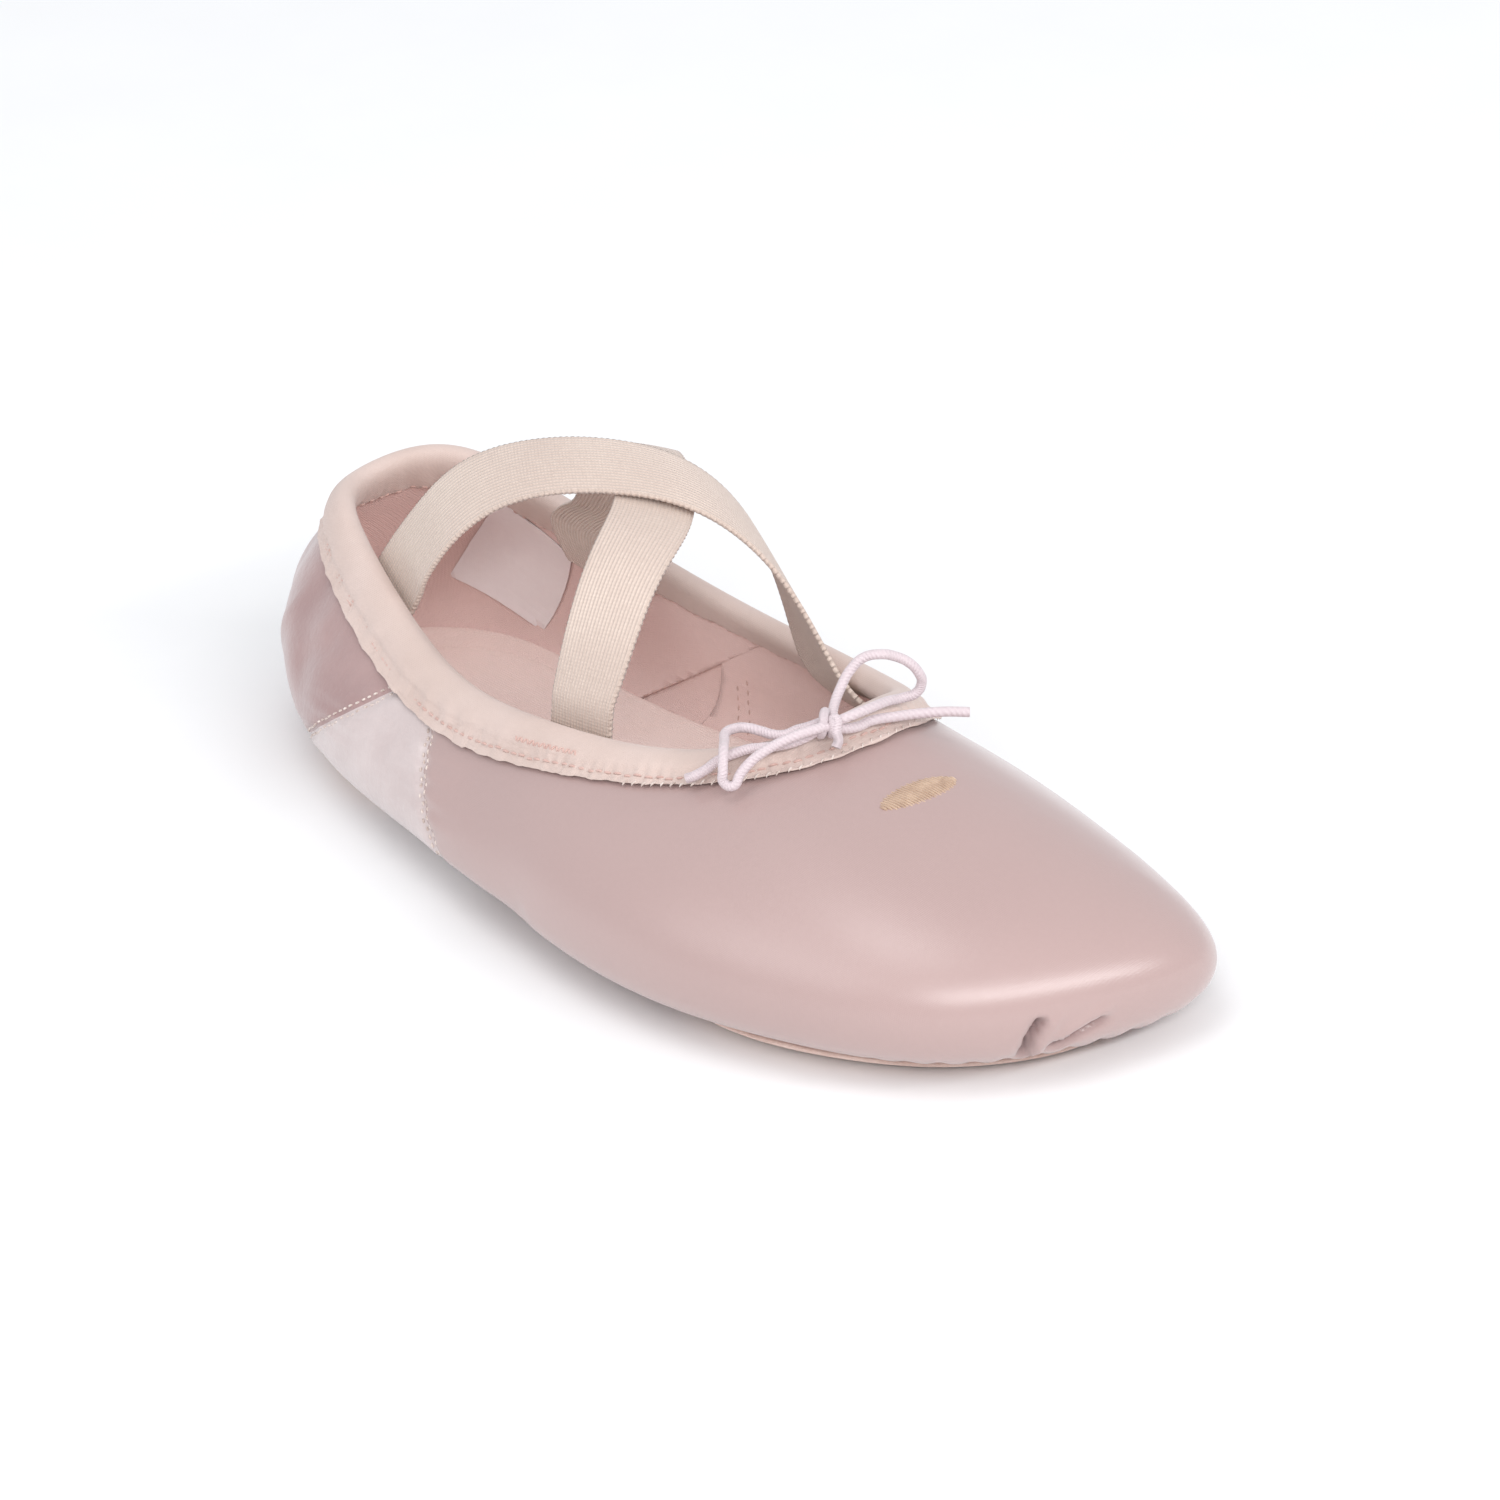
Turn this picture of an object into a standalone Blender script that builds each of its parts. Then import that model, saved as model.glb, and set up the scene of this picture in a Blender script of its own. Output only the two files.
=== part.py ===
"""A right-foot satin ballet slipper: split suede sole, hollow satin upper, stitched collar casing,
two crossed elastic straps and a drawstring bow. The toe points along +X and the big toe is on +Y."""

import bpy
import bmesh
import numpy as np
from mathutils import Vector
from mathutils.bvhtree import BVHTree

MM = 0.001

# Driving dimensions, in metres.
LENGTH = 0.234
BALL_WIDTH = 0.095
HEEL_HEIGHT = 0.050
INSTEP_HEIGHT = 0.044
EDGE_HEIGHT = 0.016
ARCH_HEIGHT = 0.004
UPPER_WALL = 0.0014
SOLE_THICKNESS = 0.0018
INSOLE_THICKNESS = 0.0014
HEEL_PAD_THICKNESS = 0.0012
BINDING_THICKNESS = 0.0009
BINDING_DEPTH = 0.0105
BINDING_LINING_DEPTH = 0.0080
CASING_BULGE = 0.0012
STRAP_WIDTH = 0.016
STRAP_THICKNESS = 0.0010
STRAP_HEIGHT = 0.0765
STRAP_TUCK = 0.0090
GAP = 0.0004

# One row for each rib of the upper, from the heel's back along the outer side to the toe and home
# along the inner side. edge is where the rib is widest: its place along the length from the heel, its
# place across in half ball widths (inner side positive) and its height in edge heights. top is where
# the rib meets the collar, its height a sum of heel and instep heights. shoulder is how far the rib
# rises straight up from its edge, crown how flat and dive how steep it arrives at the collar.
RIB_COLUMNS = (
    "edge_x", "edge_y", "edge_z", "top_x", "top_y", "top_heel", "top_instep",
    "shoulder", "crown", "dive",
)
RIBS = (
    (0.000, 0.05, 1.45, 0.060, 0.07, 0.96, 0.00, 0.49, 0.06, 0.26),
    (0.056, -0.39, 1.31, 0.110, -0.22, 0.98, 0.00, 0.47, 0.03, 0.28),
    (0.165, -0.69, 1.08, 0.205, -0.38, 0.85, 0.00, 0.47, 0.06, 0.26),
    (0.332, -0.85, 0.85, 0.330, -0.51, 0.72, 0.00, 0.47, 0.19, 0.25),
    (0.509, -0.97, 0.78, 0.449, -0.53, 0.41, 0.38, 0.52, 0.33, 0.24),
    (0.679, -1.00, 0.84, 0.547, -0.45, 0.02, 0.86, 0.57, 0.53, 0.23),
    (0.824, -0.82, 0.95, 0.617, -0.30, 0.00, 0.93, 0.51, 0.57, 0.11),
    (0.946, -0.42, 0.99, 0.657, -0.09, 0.00, 0.98, 0.45, 0.56, 0.10),
    (1.000, 0.27, 1.00, 0.671, 0.15, 0.00, 1.02, 0.36, 0.50, 0.15),
    (0.978, 0.74, 0.79, 0.658, 0.40, 0.00, 0.98, 0.35, 0.40, 0.20),
    (0.865, 0.93, 0.61, 0.630, 0.57, 0.00, 0.89, 0.40, 0.36, 0.25),
    (0.726, 1.00, 0.78, 0.570, 0.67, 0.00, 0.82, 0.50, 0.33, 0.36),
    (0.565, 0.89, 1.00, 0.465, 0.72, 0.37, 0.37, 0.48, 0.20, 0.33),
    (0.382, 0.72, 1.19, 0.320, 0.70, 0.74, 0.00, 0.45, 0.09, 0.31),
    (0.177, 0.73, 1.25, 0.178, 0.62, 0.86, 0.00, 0.46, 0.01, 0.29),
    (0.055, 0.55, 1.36, 0.083, 0.43, 0.98, 0.00, 0.47, 0.03, 0.28),
)

# How the underside lies: keel is the seam line down its middle, in shares of the length from the
# heel, lift how high it is in arch heights above the sole patches.
KEEL_COLUMNS = ("along", "lift")
KEEL = (
    (0.00, 0.00),
    (0.30, 0.00),
    (0.38, 0.55),
    (0.45, 1.00),
    (0.52, 0.60),
    (0.60, 0.00),
    (1.00, 0.00),
)
KEEL_SHARE = 0.72
FLOOR_SHARE = 0.35
UNDERCURL = 0.75

# Mesh density: ribs around the shoe, and steps along a rib's upper part and its undercurl.
RIB_COUNT = 64
UPPER_STEPS = 27
CURL_STEPS = 18
KEEP_EVERY = 3

# The suede patches and the heel's sock, seen from above: where each starts along the length, where
# it ends, and how far it reaches from the middle to the edge.
HEEL_SOLE = (0.045, 0.300, 0.80)
FOREFOOT_SOLE = (0.580, 0.945, 0.82)
HEEL_PAD = (0.065, 0.340, 0.70)
OPENING_INSET = 0.0055
CUTTER_RISE = 2.0
INSOLE_CURL = 3
OVAL_STEPS = 40
OVAL_RINGS = (1.00, 0.88, 0.66, 0.36)
OVAL_SQUARENESS = 0.80

# The casing's section, walked from the outer lip over the collar's edge to the inner lip: pairs of
# a drop down the upper, in binding depths, and a puff added to the thickness, in casing bulges.
OUTER_CASING = ((1.00, 0.00), (0.72, 0.05), (0.62, 0.60), (0.35, 1.00), (0.12, 0.80))
INNER_CASING = ((0.12, 0.45), (0.50, 0.25), (1.00, 0.00))
CASING_SHOULDER = 0.6

# Straps. Each end is tucked between two ribs, given in rows of the table above.
STRAP_END_COLUMNS = ("near_rear", "near_front", "far_rear", "far_front")
STRAP_ENDS = {
    "strap_over": (1.62, 2.20, 11.52, 10.95),
    "strap_under": (4.00, 4.70, 13.85, 13.43),
}
# Each strap's two edges between its ends: place along the length, place across in half ball widths,
# and height from the collar (0) to the strap height (1).
STRAP_COLUMNS = ("rear_x", "rear_y", "rear_rise", "front_x", "front_y", "front_rise")
STRAP_ROUTES = {
    "strap_over": (
        (0.214, -0.165, 0.53, 0.274, -0.350, 0.37),
        (0.244, -0.080, 0.79, 0.299, -0.275, 0.60),
        (0.285, 0.038, 0.92, 0.333, -0.180, 0.79),
        (0.330, 0.166, 1.00, 0.381, -0.042, 0.89),
        (0.378, 0.305, 1.00, 0.424, 0.082, 0.92),
        (0.423, 0.432, 0.94, 0.470, 0.225, 0.90),
        (0.463, 0.550, 0.69, 0.516, 0.347, 0.74),
        (0.493, 0.610, 0.18, 0.553, 0.505, 0.30),
    ),
    "strap_under": (
        (0.455, -0.447, 0.25, 0.521, -0.408, 0.27),
        (0.462, -0.413, 0.46, 0.528, -0.356, 0.44),
        (0.456, -0.328, 0.61, 0.524, -0.269, 0.59),
        (0.446, -0.194, 0.79, 0.512, -0.097, 0.77),
        (0.425, 0.000, 0.86, 0.491, 0.137, 0.81),
        (0.389, 0.168, 0.89, 0.449, 0.358, 0.83),
        (0.346, 0.295, 0.92, 0.393, 0.505, 0.89),
        (0.303, 0.404, 0.81, 0.348, 0.579, 0.78),
        (0.269, 0.491, 0.52, 0.318, 0.632, 0.49),
        (0.239, 0.537, 0.24, 0.293, 0.623, 0.21),
    ),
}
STRAP_STEPS = 30
STRAP_EVENING = 4
STRAP_KEPT = 5

# The drawstring's bow at the throat. Each route is a list of points in millimetres.
CORD_DIAMETER = 0.0019
CORD_STEP = 0.0045
BOW_ROUTES = {
    "bow_loop_right": (
        (43.0, 2.5, 50.5), (41.0, 6.0, 52.5), (40.5, 9.0, 55.0), (41.5, 11.5, 57.0),
        (43.5, 14.0, 57.5), (44.5, 16.5, 56.5), (46.0, 18.5, 55.0), (47.0, 20.0, 52.5),
        (47.0, 20.5, 50.5), (46.5, 19.5, 48.5), (45.5, 17.0, 48.0), (46.0, 13.0, 49.0),
        (47.5, 7.5, 50.2), (48.5, 2.0, 51.0),
    ),
    "bow_end_right": (
        (47.5, 2.0, 47.5), (47.5, 4.5, 47.5), (47.5, 7.5, 47.5), (48.0, 13.0, 46.5),
        (49.5, 17.5, 46.0), (52.5, 21.5, 46.0), (55.0, 25.0, 45.5),
    ),
    "bow_loop_left": (
        (40.0, -4.0, 47.2), (39.0, -6.0, 46.6), (37.5, -7.5, 46.6), (35.0, -8.5, 46.8),
        (32.0, -10.0, 47.0), (31.0, -11.5, 47.0), (31.0, -13.5, 47.0), (33.5, -16.0, 47.0),
        (37.5, -19.5, 47.0), (39.0, -21.0, 44.8), (39.5, -21.4, 42.8), (41.0, -20.5, 42.2),
        (41.0, -18.5, 44.0), (41.5, -16.0, 46.0), (42.5, -13.5, 47.5), (43.5, -11.0, 48.5),
        (45.0, -8.0, 49.5), (46.0, -6.5, 50.0),
    ),
    "bow_end_left": (
        (38.0, -11.0, 45.4), (36.5, -12.5, 45.2), (35.0, -15.0, 44.6), (33.5, -18.0, 43.6),
        (33.0, -20.0, 42.6), (32.0, -22.5, 41.6), (31.0, -23.5, 41.1),
    ),
}
# The knot is a short wrap round the bow's middle with one tail over the casing.
KNOT_CENTRE = (43.3, -0.6, 48.8)
KNOT_AXIS = (0.61, 0.79, 0.0)
KNOT_RADIUS = 0.0015
KNOT_PITCH = 0.0022
KNOT_START = -150.0
KNOT_TURN_STEP = 45.0
KNOT_TURN_COUNT = 12
KNOT_TAIL = ((47.3, -1.1, 48.2), (48.3, -1.1, 46.9), (48.8, -2.0, 46.2))


def remove_everything():
    for old in list(bpy.data.objects):
        bpy.data.objects.remove(old, do_unlink=True)


def material(name, colour, roughness):
    made = bpy.data.materials.new(name)
    made.use_nodes = True
    shader = made.node_tree.nodes["Principled BSDF"]
    shader.inputs["Base Color"].default_value = (*colour, 1.0)
    shader.inputs["Roughness"].default_value = roughness
    made.diffuse_color = (*colour, 1.0)
    return made


def add_object(name, mesh, finish, collection):
    made = bpy.data.objects.new(name, mesh)
    made.data.materials.append(finish)
    collection.objects.link(made)
    return made


def closed_spline(values, places):
    """A smooth closed curve through the rows of values, read at places counted in rows."""
    rows = np.asarray(values, float)
    count = len(rows)
    system = 4.0 * np.eye(count) + np.roll(np.eye(count), 1, 0) + np.roll(np.eye(count), -1, 0)
    bend = np.linalg.solve(system, 6.0 * (np.roll(rows, -1, 0) - 2.0 * rows + np.roll(rows, 1, 0)))
    before = np.floor(places).astype(int) % count
    after = (before + 1) % count
    t = (np.asarray(places, float) - np.floor(places))[:, None]
    return (bend[before] * (1 - t) ** 3 / 6 + bend[after] * t ** 3 / 6
            + (rows[before] - bend[before] / 6) * (1 - t) + (rows[after] - bend[after] / 6) * t)


def open_spline(points, count):
    """A natural cubic spline through the points, read at evenly spaced steps of its chord length."""
    knots = np.asarray(points, float)
    chord = np.concatenate([[0.0], np.cumsum(np.linalg.norm(np.diff(knots, axis=0), axis=1))])
    size = len(knots)
    span = np.diff(chord)
    system = np.eye(size)
    target = np.zeros_like(knots)
    for row in range(1, size - 1):
        system[row, row - 1] = span[row - 1]
        system[row, row] = 2.0 * (span[row - 1] + span[row])
        system[row, row + 1] = span[row]
        target[row] = 6.0 * ((knots[row + 1] - knots[row]) / span[row]
                             - (knots[row] - knots[row - 1]) / span[row - 1])
    bend = np.linalg.solve(system, target)
    places = np.linspace(0.0, chord[-1], count)
    index = np.clip(np.searchsorted(chord, places) - 1, 0, size - 2)
    width = span[index][:, None]
    left = (places - chord[index])[:, None]
    right = width - left
    return (bend[index] * right ** 3 + bend[index + 1] * left ** 3) / (6 * width) \
        + (knots[index] / width - bend[index] * width / 6) * right \
        + (knots[index + 1] / width - bend[index + 1] * width / 6) * left


def bezier(start, first, second, end, steps):
    t = np.linspace(0.0, 1.0, steps + 1)[:, None, None]
    return ((1 - t) ** 3 * start + 3 * (1 - t) ** 2 * t * first
            + 3 * (1 - t) * t ** 2 * second + t ** 3 * end)


def bottom_height():
    """Height of the upper's underside where a suede patch lies below it."""
    return SOLE_THICKNESS + GAP


def rib_values(places):
    """The rib table read at places, with its outline stretched to the shoe's length and width."""
    outline = closed_spline(RIBS, np.arange(0.0, len(RIBS), 0.05))
    rows = closed_spline(RIBS, places)
    column = {name: rows[:, index] for index, name in enumerate(RIB_COLUMNS)}
    along = outline[:, RIB_COLUMNS.index("edge_x")]
    across = outline[:, RIB_COLUMNS.index("edge_y")]
    for name in ("edge_x", "top_x"):
        column[name] = ((column[name] - along.min()) / np.ptp(along) - 0.5) * LENGTH
    for name in ("edge_y", "top_y"):
        column[name] = ((column[name] - across.min()) / np.ptp(across) - 0.5) * BALL_WIDTH
    return column


def rib_curves(places):
    """Dense ribs, from the collar over the edge to the flat floor: an array of steps, ribs and axes."""
    column = rib_values(places)
    edge = np.stack([column["edge_x"], column["edge_y"], column["edge_z"] * EDGE_HEIGHT], 1)
    height = column["top_heel"] * HEEL_HEIGHT + column["top_instep"] * INSTEP_HEIGHT
    top = np.stack([column["top_x"], column["top_y"], height], 1)
    up = np.array([0.0, 0.0, 1.0])
    rise = (top - edge)[:, 2:]
    reach = (top - edge) * (1.0 - up)
    upper = bezier(top, top - reach * column["crown"][:, None] - up * rise * column["dive"][:, None],
                   edge + up * rise * column["shoulder"][:, None], edge, UPPER_STEPS)
    keel = keel_points(edge)
    floor = keel + (edge - keel) * FLOOR_SHARE
    floor[:, 2] = keel[:, 2]
    side = (edge - floor) * (1.0 - up)
    curl = bezier(edge, edge - up * (edge - floor)[:, 2:] * UNDERCURL, floor + side * UNDERCURL,
                  floor, CURL_STEPS)
    return np.concatenate([upper, curl[1:]])


def keel_points(edge):
    """The keel point of each rib: halfway to the rib across the shoe, drawn in from the ends."""
    across = np.roll(edge[::-1], 1, 0)
    keel = 0.5 * (edge + across)
    keel[:, 0] *= KEEL_SHARE
    along = keel[:, 0] / LENGTH + 0.5
    stations = [row[KEEL_COLUMNS.index("along")] for row in KEEL]
    lifts = [row[KEEL_COLUMNS.index("lift")] for row in KEEL]
    keel[:, 2] = bottom_height() + ARCH_HEIGHT * np.interp(along, stations, lifts)
    return keel


def outward_normals(grid):
    """Unit normals of the rib grid, pointing out of the shoe."""
    around = np.roll(grid, -1, 1) - np.roll(grid, 1, 1)
    down = np.gradient(grid, axis=0)
    normal = np.cross(down, around)
    length = np.linalg.norm(normal, axis=2, keepdims=True)
    return normal / np.maximum(length, 1e-12)


def walk(grid, normals, distance):
    """Points and normals on every rib at a distance down from the collar, or above it if negative."""
    steps = np.linalg.norm(np.diff(grid, axis=0), axis=2)
    travelled = np.concatenate([np.zeros((1, grid.shape[1])), np.cumsum(steps, 0)])
    point = np.empty(grid.shape[1:])
    normal = np.empty(grid.shape[1:])
    for rib in range(grid.shape[1]):
        for axis in range(3):
            point[rib, axis] = np.interp(distance, travelled[:, rib], grid[:, rib, axis])
            normal[rib, axis] = np.interp(distance, travelled[:, rib], normals[:, rib, axis])
    if distance < 0.0:
        slope = grid[0] - grid[1]
        point = grid[0] - slope / np.linalg.norm(slope, axis=1, keepdims=True) * distance
    return point, normal / np.linalg.norm(normal, axis=1, keepdims=True)


def close_floor(mesh, ring):
    """Faces across the floor, from each rib of a ring to the rib on the shoe's other side."""
    count = len(ring)
    half = count // 2
    mesh.faces.new((ring[0], ring[count - 1], ring[1]))
    for index in range(1, half - 1):
        mesh.faces.new((ring[index], ring[count - index], ring[count - index - 1], ring[index + 1]))
    mesh.faces.new((ring[half - 1], ring[half + 1], ring[half]))


def ring_mesh(name, rings, close_section=False, close_ends=False, floor=False):
    """A mesh of quads between closed rings of equal length, shut at both ends or into a hoop."""
    mesh = bmesh.new()
    made = [[mesh.verts.new(point) for point in ring] for ring in rings]
    pairs = list(zip(made[:-1], made[1:]))
    if close_section:
        pairs.append((made[-1], made[0]))
    for first, second in pairs:
        count = len(first)
        for index in range(count):
            following = (index + 1) % count
            mesh.faces.new((first[index], second[index], second[following], first[following]))
    if close_ends:
        mesh.faces.new(made[0])
        mesh.faces.new(made[-1])
    if floor:
        close_floor(mesh, made[-1])
    if close_section or close_ends:
        bmesh.ops.recalc_face_normals(mesh, faces=mesh.faces)
    data = bpy.data.meshes.new(name)
    mesh.to_mesh(data)
    mesh.free()
    return data


def solidify(piece, thickness, offset):
    wall = piece.modifiers.new("wall", "SOLIDIFY")
    wall.thickness = thickness
    wall.offset = offset


def around(count):
    """Places of evenly spaced ribs, counted in rows of the rib table."""
    return np.arange(count) * len(RIBS) / count


class Shoe:
    """The outer surface of the upper, which every other piece is measured from."""

    def __init__(self):
        self.grid = rib_curves(around(RIB_COUNT))[::KEEP_EVERY]
        self.normals = outward_normals(self.grid)
        edge = self.grid[UPPER_STEPS // KEEP_EVERY]
        half = RIB_COUNT // 2
        self.outer_side = edge[:half + 1]
        self.inner_side = np.concatenate([edge[half:], edge[:1]])[::-1]

    def ring(self, drop, offset):
        """A ring round the collar: so far down each rib, and so far out from it."""
        point, normal = walk(self.grid, self.normals, drop)
        return point + normal * offset

    def near_collar(self, place, drop, offset):
        """One point of such a ring, at a place counted in rows of the rib table."""
        ring = self.ring(drop, offset)
        share = place * RIB_COUNT / len(RIBS)
        before = int(share)
        return ring[before] + (ring[(before + 1) % RIB_COUNT] - ring[before]) * (share - before)

    def sides(self, along):
        """Where the two edges lie across the shoe at a place along it."""
        outer = np.interp(along, self.outer_side[:, 0], self.outer_side[:, 1])
        inner = np.interp(along, self.inner_side[:, 0], self.inner_side[:, 1])
        return outer, inner

    def surface_tree(self, offset):
        """The shoe's outer surface moved out by an offset, ready for rays."""
        mesh = bmesh.new()
        rings = self.grid + self.normals * offset
        made = [[mesh.verts.new(point) for point in ring] for ring in rings]
        for first, second in zip(made[:-1], made[1:]):
            for index in range(RIB_COUNT):
                after = (index + 1) % RIB_COUNT
                mesh.faces.new((first[index], second[index], second[after], first[after]))
        close_floor(mesh, made[-1])
        tree = BVHTree.FromBMesh(mesh)
        mesh.free()
        return tree


def oval_outline(shoe, oval, inset=0.0):
    """A rounded outline on the sole in plan, from its row of back, front and reach."""
    back, front, reach = oval
    start = (back - 0.5) * LENGTH + inset
    stop = (front - 0.5) * LENGTH - inset
    points = []
    for turn in np.arange(OVAL_STEPS) * 2.0 * np.pi / OVAL_STEPS:
        along = 0.5 * (start + stop) + 0.5 * (stop - start) * np.cos(turn)
        outer, inner = shoe.sides(along)
        middle = 0.5 * (outer + inner)
        half = 0.5 * (inner - outer) * reach - inset
        bow = np.sign(np.sin(turn)) * abs(np.sin(turn)) ** OVAL_SQUARENESS
        points.append((along, middle + half * bow))
    return np.array(points)


def oval_sheet(name, shoe, oval, offset, upward):
    """A sheet over an oval, laid on the shoe's bottom surface moved out by an offset."""
    tree = shoe.surface_tree(offset)
    outline = oval_outline(shoe, oval)
    centre = outline.mean(0)
    toward = Vector((0.0, 0.0, 1.0))
    start = -LENGTH
    rings = []
    for share in OVAL_RINGS:
        flat = centre + (outline - centre) * share
        ring = [tree.ray_cast(Vector((x, y, start)), toward)[0] for x, y in flat]
        rings.append(ring)
    mesh = bmesh.new()
    made = [[mesh.verts.new(point) for point in ring] for ring in rings]
    hub = mesh.verts.new(tree.ray_cast(Vector((centre[0], centre[1], start)), toward)[0])
    for first, second in zip(made[:-1], made[1:]):
        for index in range(OVAL_STEPS):
            after = (index + 1) % OVAL_STEPS
            mesh.faces.new((first[index], first[after], second[after], second[index]))
    for index in range(OVAL_STEPS):
        mesh.faces.new((made[-1][index], made[-1][(index + 1) % OVAL_STEPS], hub))
    if not upward:
        bmesh.ops.reverse_faces(mesh, faces=mesh.faces)
    data = bpy.data.meshes.new(name)
    mesh.to_mesh(data)
    mesh.free()
    return data


def opening_cutter(name, shoe, oval, collection):
    """A plug through the bottom wall, the sewn margin smaller than its suede patch."""
    outline = oval_outline(shoe, oval, OPENING_INSET)
    low = [(x, y, -SOLE_THICKNESS) for x, y in outline]
    high = [(x, y, bottom_height() + CUTTER_RISE * UPPER_WALL) for x, y in outline]
    cutter = bpy.data.objects.new(name, ring_mesh(name, [low, high], close_ends=True))
    cutter.hide_render = True
    cutter.display_type = "WIRE"
    collection.objects.link(cutter)
    return cutter


def make_upper(shoe, collection, cutters, finish):
    upper = add_object("upper", ring_mesh("upper", list(shoe.grid), floor=True), finish, collection)
    solidify(upper, UPPER_WALL, -1.0)
    for name, oval in (("heel_opening", HEEL_SOLE), ("forefoot_opening", FOREFOOT_SOLE)):
        cut = upper.modifiers.new(name, "BOOLEAN")
        cut.operation = "DIFFERENCE"
        cut.object = opening_cutter(name, shoe, oval, cutters)
    return upper


def casing_section():
    """The casing's closed section as drop and offset pairs, outer lip first."""
    skin = -(UPPER_WALL + GAP)
    crest = GAP + BINDING_THICKNESS
    shoulder = CASING_SHOULDER * BINDING_THICKNESS
    section = [(BINDING_DEPTH * drop, crest + CASING_BULGE * puff) for drop, puff in OUTER_CASING]
    section.append((-GAP - shoulder, GAP + shoulder))
    section.append((-crest, -0.5 * UPPER_WALL))
    section.append((-GAP - shoulder, skin - shoulder))
    section += [(BINDING_LINING_DEPTH * drop, skin - BINDING_THICKNESS - CASING_BULGE * puff)
                for drop, puff in INNER_CASING]
    section += [(BINDING_LINING_DEPTH, skin), (0.5 * BINDING_LINING_DEPTH, skin), (-GAP, skin)]
    section += [(-GAP, GAP), (0.5 * BINDING_DEPTH, GAP), (BINDING_DEPTH, GAP)]
    return section


def make_binding(shoe, collection, finish):
    rings = [shoe.ring(drop, offset) for drop, offset in casing_section()]
    mesh = ring_mesh("collar_binding", rings, close_section=True)
    return add_object("collar_binding", mesh, finish, collection)


def make_sole(name, oval, shoe, collection, finish):
    sheet = oval_sheet(name, shoe, oval, GAP, upward=False)
    sole = add_object(name, sheet, finish, collection)
    solidify(sole, SOLE_THICKNESS, 1.0)
    return sole


def make_insole(shoe, collection, finish):
    inner = shoe.grid - shoe.normals * (UPPER_WALL + GAP)
    rings = list(inner[-1 - INSOLE_CURL:])
    insole = add_object("insole", ring_mesh("insole", rings, floor=True), finish, collection)
    solidify(insole, INSOLE_THICKNESS, -1.0)
    return insole


def make_heel_pad(shoe, collection, finish):
    depth = UPPER_WALL + GAP + INSOLE_THICKNESS + GAP
    pad = add_object("heel_pad", oval_sheet("heel_pad", shoe, HEEL_PAD, -depth, upward=True),
                     finish, collection)
    solidify(pad, HEEL_PAD_THICKNESS, 1.0)
    return pad


def strap_edge(shoe, name, side):
    """The route of one edge of a strap, from its tucked near end to its tucked far end."""
    ends = dict(zip(STRAP_END_COLUMNS, STRAP_ENDS[name]))
    inside = -(UPPER_WALL + 3.0 * GAP + BINDING_THICKNESS + 0.5 * STRAP_THICKNESS
               + CASING_BULGE * max(puff for drop, puff in INNER_CASING))
    near = [shoe.near_collar(ends["near_" + side], drop, inside) for drop in (STRAP_TUCK, 0.0)]
    far = [shoe.near_collar(ends["far_" + side], drop, inside) for drop in (0.0, STRAP_TUCK)]
    column = STRAP_COLUMNS.index(side + "_x")
    route = STRAP_ROUTES[name]
    middle = []
    for index, row in enumerate(route):
        along, across, rise = row[column:column + 3]
        share = (index + 1.0) / (len(route) + 1.0)
        base = near[1][2] + (far[0][2] - near[1][2]) * share
        height = base + (STRAP_HEIGHT - base) * rise
        middle.append(np.array([(along - 0.5) * LENGTH, across * 0.5 * BALL_WIDTH, height]))
    return open_spline(near + middle + far, STRAP_STEPS + 1)


def evened(points):
    """A route whose small kinks are averaged out. Its tucked ends stay."""
    keep = STRAP_KEPT
    for _ in range(STRAP_EVENING):
        between = 0.25 * points[:-2] + 0.5 * points[1:-1] + 0.25 * points[2:]
        points = np.concatenate([points[:keep], between[keep - 1:1 - keep], points[-keep:]])
    return points


def make_strap(name, shoe, collection, finish):
    rear = strap_edge(shoe, name, "rear")
    front = strap_edge(shoe, name, "front")
    middle = evened(0.5 * (rear + front))
    width = evened(front - rear)
    width /= np.linalg.norm(width, axis=1, keepdims=True)
    along = np.gradient(middle, axis=0)
    normal = np.cross(width, along)
    normal /= np.linalg.norm(normal, axis=1, keepdims=True)
    side = 0.5 * STRAP_WIDTH * width
    thick = 0.5 * STRAP_THICKNESS * normal
    corners = (middle - side - thick, middle + side - thick, middle + side + thick,
               middle - side + thick)
    rings = [[corner[step] for corner in corners] for step in range(STRAP_STEPS + 1)]
    return add_object(name, ring_mesh(name, rings, close_ends=True), finish, collection)


def add_cord(name, points, finish, collection):
    """A tube with round ends along points in metres, a straight run between each two."""
    curve = bpy.data.curves.new(name, "CURVE")
    curve.dimensions = "3D"
    curve.bevel_depth = 0.5 * CORD_DIAMETER
    curve.bevel_resolution = 2
    curve.use_fill_caps = True
    spline = curve.splines.new("POLY")
    spline.points.add(len(points) - 1)
    for place, point in zip(spline.points, points):
        place.co = (*point, 1.0)
    return add_object(name, curve, finish, collection)


def cord_route(points):
    """A smooth route through hand-chosen points in millimetres, read about every two diameters."""
    knots = np.array(points) * MM
    length = np.linalg.norm(np.diff(knots, axis=0), axis=1).sum()
    return open_spline(knots, max(4, int(round(length / CORD_STEP)) + 1))


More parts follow.
